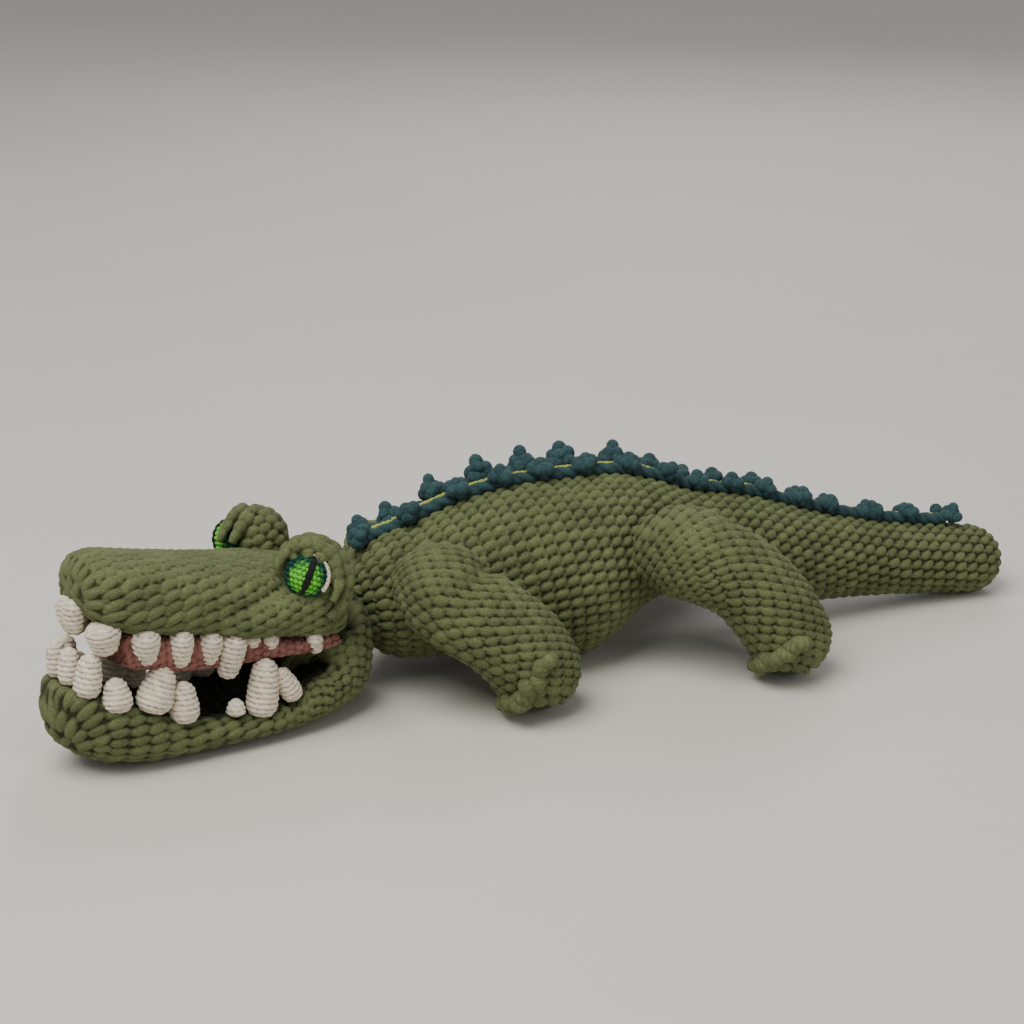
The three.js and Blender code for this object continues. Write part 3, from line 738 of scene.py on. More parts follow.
def grid_faces(rows, columns, inward):
    """The faces of a closed grid, with a point at each end after the grid's own points."""
    index = np.arange(rows * columns).reshape(rows, columns)
    after = np.roll(index, -1, axis=1)
    quads = np.stack((index[:-1], index[1:], after[1:], after[:-1]), axis=-1).reshape(-1, 4)
    top = np.full(columns, rows * columns)
    first = np.stack((index[0], after[0], top), axis=-1)
    last = np.stack((after[-1], index[-1], top + 1), axis=-1)
    faces = quads.tolist() + first.tolist() + last.tolist()
    return [face[::-1] for face in faces] if inward else faces


def grid_object(name, grid, inward, material, **layers):
    """An object from a closed grid, with values for its points."""
    rows, columns = grid.shape[:2]
    points = np.concatenate((grid.reshape(-1, 3), grid[0].mean(0)[None], grid[-1].mean(0)[None]))
    mesh = bpy.data.meshes.new(name)
    mesh.from_pydata(points.tolist(), [], grid_faces(rows, columns, inward))
    for layer, values in layers.items():
        ends = (values[0].mean(), values[-1].mean())
        add_layer(mesh, layer, np.concatenate((values.ravel(), ends)))
    return link(name, mesh, material)


def crocheted(name, grid, field, knit, material, ball=None, **layers):
    """An object whose surface stands up in stitches over a grid, but not over a ball set in it."""
    normals, inward = outward_normals(grid)
    crown, tone, run = stitched(grid, field, knit, normals)
    shaped = grid + normals * ((crown - 1) * knit.depth + knit.proud)[..., None]
    shaped[..., 2] = np.maximum(shaped[..., 2], 0)
    if ball:
        middle, radius = ball
        away = shaped - middle
        far = np.linalg.norm(away, axis=2, keepdims=True)
        sunk = middle + away / far * np.minimum(far, radius - EYE_SEAT_DEPTH)
        shaped = np.where(far < radius + EYE_SEAT_GAP, sunk, shaped)
    return grid_object(name, shaped, inward, material, relief=crown, tone=tone, run=run, **layers)


# Ropes and knots

def rope_part(path, radii, sides, turn=0.0, squeeze=0.25):
    """A rope's points, faces, heights and runs. Its two plies go round once in each turn."""
    path = np.asarray(path, float)
    count = len(path)
    ahead = unit(np.gradient(path, axis=0))
    seed = UP if abs(ahead[0][2]) < 0.9 else TAILWARD
    first = np.zeros_like(path)
    first[0] = unit(np.cross(ahead[0], seed))
    for i in range(1, count):
        first[i] = unit(first[i - 1] - ahead[i] * np.dot(first[i - 1], ahead[i]))
    second = np.cross(ahead, first)
    angles = np.arange(sides) / sides * 2 * math.pi
    run = np.concatenate(([0], np.cumsum(np.linalg.norm(np.diff(path, axis=0), axis=1))))
    if turn:
        plump = np.abs(np.cos(angles[None] - (run * 2 * math.pi / turn)[:, None]))
    else:
        plump = np.ones((count, sides))
    around = np.cos(angles)[None, :, None] * first[:, None]
    around = around + np.sin(angles)[None, :, None] * second[:, None]
    reach = np.broadcast_to(np.asarray(radii, float), (count,))[:, None]
    grid = path[:, None] + around * (reach * (1 - squeeze * (1 - plump)))[..., None]
    points = np.concatenate((grid.reshape(-1, 3), path[:1], path[-1:]))
    heights = np.concatenate((plump.ravel(), (1.0, 1.0)))
    runs = np.concatenate((np.repeat(run / MM, sides), (0.0, run[-1] / MM)))
    return points, grid_faces(count, sides, True), heights, runs


def joined_object(name, parts, material):
    """One object from several parts, each with its own tone."""
    points, faces, heights, runs, tones = [], [], [], [], []
    count = 0
    for i, (part_points, part_faces, part_heights, part_runs) in enumerate(parts):
        points.append(part_points)
        heights.append(part_heights)
        runs.append(part_runs)
        tones.append(np.full(len(part_points), scatter(np.array(i + 1.0), np.array(3.0))))
        faces.extend([[corner + count for corner in face] for face in part_faces])
        count += len(part_points)
    mesh = bpy.data.meshes.new(name)
    mesh.from_pydata(np.concatenate(points).tolist(), [], faces)
    for layer, values in (("relief", heights), ("run", runs), ("tone", tones)):
        add_layer(mesh, layer, np.concatenate(values))
    return link(name, mesh, material)


def arch(centre, foot_way, top_way, half_width, height, thickness, points=15, sides=12):
    """A fat loop of yarn that stands like an arch, with its ends tucked in."""
    angles = np.radians(np.linspace(-35, 215, points))
    path = centre + np.cos(angles)[:, None] * foot_way * half_width
    path = path + np.sin(angles)[:, None] * top_way * height
    ends = np.sin(np.linspace(0.12, math.pi - 0.12, points)) ** 0.35
    part_points, faces, heights, runs = rope_part(path, thickness * ends, sides)
    # Painted shade: the relief, and so the colour, drops near the loop's foot where it tucks into the knot
    closeness = np.linalg.norm(part_points - (centre - top_way * height * 0.4), axis=1)
    shade = eased(closeness, 0.5 * height, height + thickness)
    return part_points, faces, 0.25 + 0.75 * shade * heights, runs


def knot(centre, out, along, size, seed, tall=1.0):
    """A knot of fat loops of yarn: some lean out all round and one stands on top."""
    out = unit(out)
    along = unit(along - out * np.dot(along, out))
    across = np.cross(out, along)
    lucks = [float(scatter(np.array(seed + 0.3), np.array(i * 1.7))) for i in range(24)]
    count = 5 if lucks[0] > 0.4 else 4
    parts = [arch(centre, across, out, 2.6 * MM * size, 4.5 * MM * size, 1.15 * KNOT_YARN * size)]
    for i in range(count + 1):
        turn = 2 * math.pi * (i + 0.5 * lucks[i + 1]) / count
        lean = math.radians(52 + 26 * lucks[i + 7]) if i < count else 0.5 * (lucks[1] - 0.5)
        level = math.cos(turn) * along + 0.8 * math.sin(turn) * across
        way = unit(math.cos(lean) * out + math.sin(lean) * level)
        swing = lucks[i + 13] * math.pi
        foot = math.cos(swing) * across + math.sin(swing) * along
        foot = unit(foot - way * np.dot(foot, way))
        lift = 1.6 * lucks[i + 4] * MM * tall if i < count else 1.2 * MM * tall ** 2
        place = centre + (out * lift + way * KNOT_REACH) * size
        height = (2.2 + lucks[i + 2]) * MM * size * (tall if i == count else 1.0)
        thick = KNOT_YARN * size * (0.9 + 0.2 * lucks[i + 9])
        parts.append(arch(place, foot, way, (1.3 + 0.8 * lucks[i + 3]) * MM * size, height, thick))
    return parts


# Materials

# A Mix node's factor and colours among its inputs, and the mixed colour among its outputs
COLOUR_MIX_INPUTS = (0, 6, 7)
COLOUR_MIX_OUTPUT = 2


def new_group(name, inputs, outputs):
    """An empty node group with those sockets, and its two ends."""
    tree = bpy.data.node_groups.new(name, "ShaderNodeTree")
    for label, kind, value in inputs:
        socket = tree.interface.new_socket(label, in_out="INPUT", socket_type="NodeSocket" + kind)
        if value is not None:
            socket.default_value = value
    for label, kind in outputs:
        tree.interface.new_socket(label, in_out="OUTPUT", socket_type="NodeSocket" + kind)
    start = tree.nodes.new("NodeGroupInput")
    end = tree.nodes.new("NodeGroupOutput")
    return tree, start, end


def add_node(tree, kind, **settings):
    """A node of that kind with those settings."""
    node = tree.nodes.new("ShaderNode" + kind)
    for name, value in settings.items():
        setattr(node, name, value)
    return node


def math_node(tree, operation, first, second):
    """A sum of two numbers or sockets, as the operation says."""
    node = add_node(tree, "Math", operation=operation)
    for socket, value in zip(node.inputs, (first, second)):
        if isinstance(value, bpy.types.NodeSocket):
            tree.links.new(value, socket)
        else:
            socket.default_value = value
    return node.outputs[0]


def mixed_colour(tree, blend, factor, first, second):
    """Two colours mixed in that way."""
    node = add_node(tree, "Mix", data_type="RGBA", blend_type=blend, clamp_factor=True)
    sockets = (node.inputs[i] for i in COLOUR_MIX_INPUTS)
    for socket, value in zip(sockets, (factor, first, second)):
        if isinstance(value, bpy.types.NodeSocket):
            tree.links.new(value, socket)
        else:
            socket.default_value = value
    return node.outputs[COLOUR_MIX_OUTPUT]


def noise(tree, place, scale, detail):
    """Noise at a place, as a number from 0 to 1."""
    node = add_node(tree, "TexNoise")
    tree.links.new(place, node.inputs["Vector"])
    node.inputs["Scale"].default_value = scale
    node.inputs["Detail"].default_value = detail
    node.inputs["Roughness"].default_value = 0.6
    return node.outputs["Fac"]


def ranged(tree, value, low, high, new_low, new_high):
    """A value moved from one range to another, with soft ends."""
    node = add_node(tree, "MapRange", interpolation_type="SMOOTHSTEP")
    tree.links.new(value, node.inputs["Value"])
    for name, number in (("From Min", low), ("From Max", high), ("To Min", new_low), ("To Max", new_high)):
        node.inputs[name].default_value = number
    return node.outputs["Result"]


def yarn_pile_group():
    """Short soft pile on plump stitches, with painted shade between them and a painted highlight on their
    tops.
    """
    group = bpy.data.node_groups.get("Yarn pile")
    if group:
        return group
    group, start, end = new_group(
        "Yarn pile",
        (
            ("Place", "Vector", None), ("Yarn", "Color", (0.5, 0.5, 0.5, 1.0)),
            ("Relief", "Float", 1.0), ("Tone", "Float", 0.5), ("Run", "Float", 0.0),
            ("Gap shade", "Float", 0.3), ("Pile scale", "Float", 900.0), ("Rib", "Float", 5.2),
        ),
        (("Color", "Color"), ("Height", "Float")),
    )
    links = group.links
    place, yarn = start.outputs["Place"], start.outputs["Yarn"]
    pile = add_node(group, "TexNoise")
    links.new(place, pile.inputs["Vector"])
    links.new(start.outputs["Pile scale"], pile.inputs["Scale"])
    pile.inputs["Detail"].default_value = 4.0
    pile.inputs["Roughness"].default_value = 0.7
    patches = noise(group, place, 26.0, 2.0)
    wander = math_node(group, "MULTIPLY", noise(group, place, 420.0, 2.0), 3.0)
    turns = math_node(group, "MULTIPLY", start.outputs["Run"], start.outputs["Rib"])
    ribs = math_node(group, "SINE", math_node(group, "ADD", turns, wander), 0.0)
    height = math_node(
        group, "ADD", pile.outputs["Fac"], math_node(group, "MULTIPLY", ribs, 0.07)
    )
    grain = ranged(group, height, 0.3, 0.72, 0.74, 1.2)
    drift = ranged(group, patches, 0.3, 0.7, 0.92, 1.08)
    own = ranged(group, start.outputs["Tone"], 0.0, 1.0, 0.9, 1.08)
    shade = math_node(group, "MULTIPLY", math_node(group, "MULTIPLY", grain, drift), own)
    # Painted shade: where the relief is low, between stitches and in the grooves of ropes, the colour
    # darkens towards the set share of the yarn's colour
    depth = ranged(group, start.outputs["Relief"], 0.0, 0.75, 0.0, 1.0)
    dim = math_node(group, "SUBTRACT", 1.0, start.outputs["Gap shade"])
    shadow = math_node(group, "ADD", start.outputs["Gap shade"], math_node(group, "MULTIPLY", depth, dim))
    level = math_node(group, "MULTIPLY", shade, shadow)
    grey = add_node(group, "CombineColor")
    for socket in grey.inputs:
        links.new(level, socket)
    shaded = mixed_colour(group, "MULTIPLY", 1.0, yarn, grey.outputs[0])
    # Painted highlight: the high pile on the stitches' tops is screened paler with the yarn's colour, a
    # painted sheen
    tip_highlight = ranged(group, height, 0.52, 0.8, 0.0, 0.22)
    highlighted = mixed_colour(group, "SCREEN", math_node(group, "MULTIPLY", tip_highlight, depth), shaded, yarn)
    links.new(highlighted, end.inputs["Color"])
    links.new(height, end.inputs["Height"])
    return group


# The first keyword after the colour sets how much of the yarn's colour stays in the painted shade between
# the stitches
def yarn_material(name, colour, gap_shade=0.3, pile_scale=900.0, sheen=0.16, bump=0.5, painted=None):
    """Crochet in one yarn. A painter adds what else colours it."""
    material = bpy.data.materials.new(name)
    material.use_nodes = True
    tree = material.node_tree
    shader = tree.nodes["Principled BSDF"]
    shader.inputs["Roughness"].default_value = 0.92
    shader.inputs["Specular IOR Level"].default_value = 0.2
    shader.inputs["Sheen Weight"].default_value = sheen
    shader.inputs["Sheen Roughness"].default_value = 0.45
    shader.inputs["Sheen Tint"].default_value = [0.2 + 0.8 * c for c in colour] + [1.0]
    place = add_node(tree, "TexCoord").outputs["Object"]
    relief = add_node(tree, "Attribute", attribute_name="relief")
    tone = add_node(tree, "Attribute", attribute_name="tone")
    run = add_node(tree, "Attribute", attribute_name="run")
    pile = add_node(tree, "Group", node_tree=yarn_pile_group())
    tree.links.new(place, pile.inputs["Place"])
    tree.links.new(relief.outputs["Fac"], pile.inputs["Relief"])
    tree.links.new(tone.outputs["Fac"], pile.inputs["Tone"])
    tree.links.new(run.outputs["Fac"], pile.inputs["Run"])
    pile.inputs["Yarn"].default_value = (*colour, 1.0)
    pile.inputs["Gap shade"].default_value = gap_shade
    pile.inputs["Pile scale"].default_value = pile_scale
    if painted:
        tree.links.new(painted(tree, colour), pile.inputs["Yarn"])
    tree.links.new(pile.outputs["Color"], shader.inputs["Base Color"])
    raised = add_node(tree, "Bump")
    raised.inputs["Strength"].default_value = bump
    raised.inputs["Distance"].default_value = 0.9 * MM
    tree.links.new(pile.outputs["Height"], raised.inputs["Height"])
    tree.links.new(raised.outputs["Normal"], shader.inputs["Normal"])
    return material


def mouth_shaded(dark):
    """A painter that darkens the yarn inside the mouth, a painted shade."""

    def paint(tree, colour):
        lining = add_node(tree, "Attribute", attribute_name="lining")
        return mixed_colour(tree, "MIX", lining.outputs["Fac"], (*colour, 1.0), (*dark, 1.0))

    return paint


def iris_painted(edge):
    """A painter that takes the eye from its bright middle to its dark edge."""

    def paint(tree, colour):
        away = add_node(tree, "Attribute", attribute_name="away")
        place = add_node(tree, "TexCoord").outputs["Object"]
        patchy = ranged(tree, noise(tree, place, 260.0, 2.0), 0.3, 0.7, -0.07, 0.07)
        spread = math_node(tree, "ADD", away.outputs["Fac"], patchy)
        return mixed_colour(
            tree, "MIX", ranged(tree, spread, 0.12, 0.46, 0.0, 1.0), (*colour, 1.0), (*edge, 1.0)
        )

    return paint


def plain_material(name, colour, roughness, scale):
    """A matt surface with a faint grain, for the stage."""
    material = bpy.data.materials.new(name)
    material.use_nodes = True
    tree = material.node_tree
    shader = tree.nodes["Principled BSDF"]
    place = add_node(tree, "TexCoord").outputs["Object"]
    grain = ranged(tree, noise(tree, place, scale, 3.0), 0.3, 0.7, 0.0, 1.0)
    darker = [c * 0.97 for c in colour]
    tree.links.new(
        mixed_colour(tree, "MIX", grain, (*darker, 1.0), (*colour, 1.0)), shader.inputs["Base Color"]
    )
    shader.inputs["Roughness"].default_value = roughness
    return material


def yarns():
    """The colours of the yarns in the scene."""
    return bpy.context.scene.crocodile_yarns


def stitches():
    """The sizes of the stitches in the scene."""
    return bpy.context.scene.crocodile_stitches


def olive_material(name, painted=None, gap_shade=0.3):
    """The olive chenille."""
    return yarn_material(name, tuple(yarns().olive), gap_shade=gap_shade, painted=painted)


def shared_material(name, make):
    """The material of that name, made on its first use."""
    return bpy.data.materials.get(name) or make(name)


# Body and crest

def body_top(tree, x, aside, lift):
    """A point over the back, a distance aside from its middle and lifted off the skin."""
    start = Vector((x, aside, OVERHEAD))
    place, normal, _, _ = tree.ray_cast(start, Vector(-UP), RAY_REACH)
    if place is None:
        raise ValueError("there is no back under the crest at x = %.3f" % x)
    return np.array(place) + np.array(normal) * lift, np.array(normal)


def body_height(tree, x):
    """The height of the body's middle at x, and half its height."""
    above = tree.ray_cast(Vector((x, 0, OVERHEAD)), Vector(-UP), RAY_REACH)[0]
    below = tree.ray_cast(Vector((x, 0, UNDERNEATH)), Vector(UP), RAY_REACH)[0]
    return (above.z + below.z) / 2, (above.z - below.z) / 2


def body_grid():
    """The grid of the body and tail, from the neck's round end to the tail's."""
    tree = surface_tree("body_skin")
    step = stitches().mesh_step
    tail_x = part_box("body_skin")[1].x - TAIL_RADIUS
    xs = np.arange(NECK[0] + NECK_INSET, tail_x, step)
    measured = np.array([body_height(tree, x) for x in xs])
    middle = blurred_line(measured[:, 0], 6)
    half = blurred_line(measured[:, 1], 6)
    line = np.column_stack((xs, np.zeros(len(xs)), middle))
    rows = Rows.along(
        line, np.column_stack((half, half)), step, first_depth=NECK_RADIUS, last_depth=TAIL_RADIUS
    )
    angles = round_angles(BODY_COLUMNS)
    grid = wrap(tree, rows, TAILWARD, BODY_LEFT, angles, soften=(7, 9))
    caps = rows.tilts < -0.02
    ball = rows.starts[:, None] + rows.offsets(TAILWARD, BODY_LEFT, angles)
    grid[caps] = ball[caps]
    return grid


class CROCODILE_OT_body(bpy.types.Operator):
    """Crochet the body and tail in olive chenille"""

    bl_idname = "crocodile.body"
    bl_label = "Body"

    def execute(self, context):
        sizes = stitches()
        grid = body_grid()
        knit = Knit(
            sizes.body_width, depth=3.4 * MM, shift=0.0, proud=1.1 * MM,
            lumps=(
                Lump(half_long=0.58, half_wide=0.47, lean=-20),
                Lump(onward=0.42, sideways=0.4, half_long=0.2, half_wide=0.24, height=0.72),
            ),
        )
        field = even_rounds(grid, sizes.body_length, slope=-0.13)
        piece = crocheted("body", grid, field, knit, shared_material("olive_body", olive_material))
        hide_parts("body_skin", "body_filling")
        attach(piece, "torso")
        return {"FINISHED"}


def crest_line(tree, spread, lift, step=1.6 * MM):
    """Points along the back for one chain of the crest."""
    start = NECK[0] + CREST_START_SHARE * SPINE_LENGTH
    end = NECK[0] + CREST_END_SHARE * SPINE_LENGTH
    xs = np.arange(start, end, step)
    points = np.array([body_top(tree, x, CREST_ASIDE + spread, lift)[0] for x in xs])
    points[:, 1:] = blurred_line(points[:, 1:], 5)
    return points


class CROCODILE_OT_crest(bpy.types.Operator):
    """Lay the crest's two twisted chains, their knots and the seam between them"""

    bl_idname = "crocodile.crest"
    bl_label = "Crest"

    def execute(self, context):
        tree = surface_tree("body_skin")
        teal = yarn_material("teal_chenille", tuple(yarns().teal), gap_shade=0.45, sheen=0.35)
        for name, side in SIDES:
            line = crest_line(tree, -side * CREST_SPREAD, CHAIN_LIFT)
            parts = [rope_part(line, CHAIN_RADIUS, 18, turn=CHAIN_TURN, squeeze=0.36)]
            shares = KNOT_SHARES[name]
            for i, share in enumerate(shares):
                parts += self.knots(tree, i, share, name, side, last=i == len(shares) - 1)
            piece = joined_object("crest_chain_" + name, parts, teal)
            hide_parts("crest_" + name)
            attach(piece, "torso")
        lime = yarn_material("lime_thread", tuple(yarns().lime), gap_shade=0.6, sheen=0.2)
        line = crest_line(tree, 0.0, SEAM_LIFT)
        thread = rope_part(line, SEAM_RADIUS, 10, turn=SEAM_TURN, squeeze=0.4)
        seam = joined_object("crest_seam", [thread], lime)
        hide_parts("crest_stitching")
        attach(seam, "torso")
        return {"FINISHED"}

    def knots(self, tree, i, share, name, side, last):
        """A knot of a chain, smaller where the body is slim, on a lower knot where it is thick."""
        x = NECK[0] + share * SPINE_LENGTH
        half = body_height(tree, max(x, NECK[0]))[1]
        slim = 0.62 + 0.38 * half / THICKEST_HALF
        proud = eased(half, *THICK_BODY) if name == "right" else 0.0
        tall = 1.0 + KNOT_BACK_TALLER * proud + (KNOT_LAST_TALLER if last else 0.0)
        lift = slim * (KNOT_LIFT + KNOT_BACK_LIFT * proud)
        place, out = body_top(tree, x, CREST_ASIDE - side * KNOT_SPREAD, lift)
        size = 0.36 + 0.66 * slim
        parts = knot(place, out, TAILWARD, size, i * 3.1 + side, tall=tall)
        if proud > 0.3:
            base = place - out * KNOT_BASE_DROP
            parts += knot(base, out, TAILWARD, KNOT_BASE_SIZE * size, i * 3.1 + 40)
        return parts


# Legs

def leg_route(name, leg, side_name, side):
    """The middle line of a leg and its radius at each point, from inside the flank to the foot."""
    pivot = np.array(JOINTS["leg_%s_%s_swing" % (name, side_name)]["pos_m"])
    foot_height = LEG_RADIUS * leg["route"][-1][3] - SOLE_PRESS
    stations = []
    for back, out, down, thick in leg["route"]:
        stations.append((
            pivot[0] + back * leg["reach_back"],
            pivot[1] - side * out * leg["reach_out"],
            pivot[2] + down * (foot_height - pivot[2]),
            thick * LEG_RADIUS,
        ))
    stations = np.array(stations)
    stations[:2, 2] -= SHOULDER_DROPS[side_name]
    inside = stations[0] + unit(stations[0] - stations[1]) * LEG_ROOT_DEPTH
    inside[2] -= LEG_ROOT_DROP
    inside[3] = stations[0][3] * LEG_ROOT_SHARE
    stations = np.vstack((inside, stations))
    run = np.concatenate(([0], np.cumsum(np.linalg.norm(np.diff(stations[:, :3], axis=0), axis=1))))
    fine = np.arange(0, run[-1], LEG_STEP)
    table = np.column_stack([np.interp(fine, run, stations[:, i]) for i in range(4)])
    ends = table[[0, -1]].copy()
    table = blurred_line(table, 9)
    table[[0, -1]] = ends
    return blurred_line(table, 2)


def leg_rounds(grid, route, ways, side):
    """How far down the leg each point lies, as the rounds turn from the first way to the last."""
    first, last = (unit(np.array((x, side * out, z))) for x, out, z in ways)
    share = eased(np.linspace(0, 1, len(route)), *ROUNDS_TURN_SHARES)[:, None]
    turning = unit(first * (1 - share) + last * share)
    steps = np.diff(route[:, :3], axis=0)
    middle = np.concatenate(([0], np.cumsum((turning[1:] * steps).sum(axis=1))))
    ends = len(grid) - len(route)
    middle = np.concatenate((middle, np.repeat(middle[-1:], ends)))
    turning = np.concatenate((turning, np.repeat(turning[-1:], ends, axis=0)))
    centres = np.concatenate((route[:, :3], np.repeat(route[-1:, :3], ends, axis=0)))
    return middle[:, None] + ((grid - centres[:, None]) * turning[:, None]).sum(axis=2)


class CROCODILE_OT_legs(bpy.types.Operator):
    """Crochet the four legs and twist the toes onto their feet"""

    bl_idname = "crocodile.legs"
    bl_label = "Legs"

    def execute(self, context):
        sizes = stitches()
        for name, leg in LEGS.items():
            for side_name, side in SIDES:
                self.make_leg(sizes, name, leg, side_name, side)
        return {"FINISHED"}

    def make_leg(self, sizes, name, leg, side_name, side):
        """One leg with its toes."""
        body = "leg_%s_%s" % (name, side_name)
        route = leg_route(name, leg, side_name, side)
        knit = Knit(
            sizes.leg_width, depth=2.7 * MM, proud=1.1 * MM, most=9 * MM,
            lumps=(
                Lump(half_long=0.56, half_wide=0.54),
                Lump(onward=-0.3, sideways=0.5, half_long=0.26, half_wide=0.2, height=0.8),
            ),
        )
        angles = round_angles(LEG_COLUMNS)
        grid = tube_grid(route[:, :3], route[:, 3], angles, BODY_LEFT * side, round_end=LEG_STEP)
        grid = self.folded(grid, route, leg["fold"], side)
        field = leg_rounds(grid, route, leg["rounds"], side) / sizes.leg_length
        piece = crocheted(
            body + "_cover", grid, field, knit, shared_material("olive_leg", olive_material)
        )
        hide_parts(body + "_skin", body + "_filling")
        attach(piece, body)
        foot = route[-1]
        ways = [unit(np.array((x, side * out, z))) for x, out, z in leg["toes"]]
        parts = []
        for i, share in enumerate(np.linspace(0, 2, TOE_LUMPS)):
            at = min(int(share), 1)
            way = unit(ways[at] * (at + 1 - share) + ways[at + 1] * (share - at))
            along = unit(ways[at + 1] - ways[at])
            size = float(np.interp(share, (0, 1, 2), TOE_SIZES))
            place = foot[:3] + way * foot[3] * TOE_REACH_SHARE
            parts += self.toe_lump(place, way, along, size, i * 2.3 + side + foot[0] * 10)
        for points, _, _, _ in parts:
            points[:, 2] = np.maximum(points[:, 2], 0)
        toes = joined_object(body + "_toes", parts, shared_material("olive_toes", olive_material))
        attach(toes, body)

    def folded(self, grid, route, fold, side):
        """The leg with the swell of its shoulder and the crease below it."""
        normals = outward_normals(grid)[0]
        at, reach, swell, crease, facing = fold
        run = np.concatenate(([0], np.cumsum(np.linalg.norm(np.diff(route[:, :3], axis=0), axis=1))))
        place = np.interp(at, np.linspace(0, 1, len(run)), run)
        ends = len(grid) - len(route)
        rows = np.concatenate((run, np.repeat(run[-1], ends)))[:, None]
        way = unit(np.array((facing[0], side * facing[1], facing[2])))
        facing_it = eased((normals * way).sum(axis=2), -0.1, 0.7)
        lift = swell * np.exp(-((rows - place + reach) / reach) ** 2)
        lift = lift - crease * np.exp(-((rows - place) / (0.32 * reach)) ** 2)
        return grid + normals * (lift * facing_it)[..., None]

    def toe_lump(self, place, way, along, size, seed):
        """A fat loop in the ridge of the toes, to one side of it or the other."""
        across = np.cross(way, along)
        lucks = [float(scatter(np.array(seed), np.array(j * 1.3 + 0.4))) for j in range(5)]
        beside = (1 if lucks[4] > 0.5 else -1) * (0.8 + 1.6 * lucks[2]) * MM * size
        foot = unit(along * (0.4 + lucks[0]) + across * (lucks[1] - 0.5) * 2)
        height = (3.2 + 2.2 * lucks[3]) * MM * size
        return [arch(place + across * beside, foot, way, 2.6 * MM * size, height, TOE_YARN * size)]


# Head

def head_rows(tree, begin, finish, step, first_depth, last_depth, blur):
    """Rows along the head's own axis through the middle of a CAD node."""
    aheads = np.arange(begin, finish, step)
    high = met_across(tree, [head_point(ahead, 0, OVERHEAD) for ahead in aheads], -UP)
    low = met_across(tree, [head_point(ahead, 0, UNDERNEATH) for ahead in aheads], UP)
    high, low = OVERHEAD - high, UNDERNEATH + low
    middle = blurred_line((low + high) / 2, blur)
    tall = blurred_line((high - low) / 2, blur)
    flanks = [head_point(ahead, BESIDE, height) for ahead, height in zip(aheads, middle)]
    half = blurred_line(BESIDE - met_across(tree, flanks, -HEAD_LEFT), blur)
    line = np.array([head_point(ahead, 0, height) for ahead, height in zip(aheads, middle)])
    return Rows.along(line, np.column_stack((tall, half)), step, first_depth, last_depth)


def head_extent(node):
    """The reach of a CAD node in the head's own frame."""
    points = in_head(node_points(node))
    return points.min(axis=0), points.max(axis=0)


class CROCODILE_OT_lower_head(bpy.types.Operator):
    """Crochet the lower jaw with the back of the head, and paint shade inside the mouth"""

    bl_idname = "crocodile.lower_head"
    bl_label = "Lower head"

    def execute(self, context):
        sizes = stitches()
        tree = surface_tree("jaw_skin")
        tip = head_extent("jaw_skin")[1][0]
        rows = head_rows(
            tree, JAW_START, tip - JAW_TIP_DEPTH, sizes.mesh_step, JAW_BACK_DEPTH, JAW_TIP_DEPTH, 7
        )
        grid = wrap(
            tree, rows, NOSEWARD, HEAD_LEFT, round_angles(JAW_COLUMNS, 2.6, 0.6),
            soften=(2.2, 2.2), covers=teeth_tree("lower"),
        )
        local = in_head(grid)
        far = local[..., 0].mean(axis=1)
        length = sizes.head_length * (0.72 + 0.5 * eased(far, 80 * MM, 170 * MM))
        knit = Knit(
            sizes.head_width, depth=2.7 * MM, proud=0.9 * MM,
            lumps=(Lump(half_long=0.6, half_wide=0.54, lean=14),),
        )
        normals = outward_normals(grid)[0]
        half = np.abs(local[..., 1]).max(axis=1, keepdims=True)
        inner = eased(half - np.abs(local[..., 1]), 8 * MM, 13 * MM)
        inner = inner * eased(tip - local[..., 0], 14 * MM, 24 * MM)
        # Painted shade: the upward faces deep inside the mouth, away from its rim and tip, turn a darkened
        # olive
        lining = inner * eased(normals[..., 2], -0.2, 0.2) * eased(local[..., 0], 56 * MM, 62 * MM)
        dark = tuple(MOUTH_SHADE_LEVEL * c for c in yarns().olive)
        material = olive_material("olive_jaw", mouth_shaded(dark))
        field = even_rounds(grid, length)
        piece = crocheted("lower_jaw", grid, field, knit, material, lining=lining)
        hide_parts("jaw_skin", "jaw_filling")
        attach(piece, "lower_head")
        return {"FINISHED"}


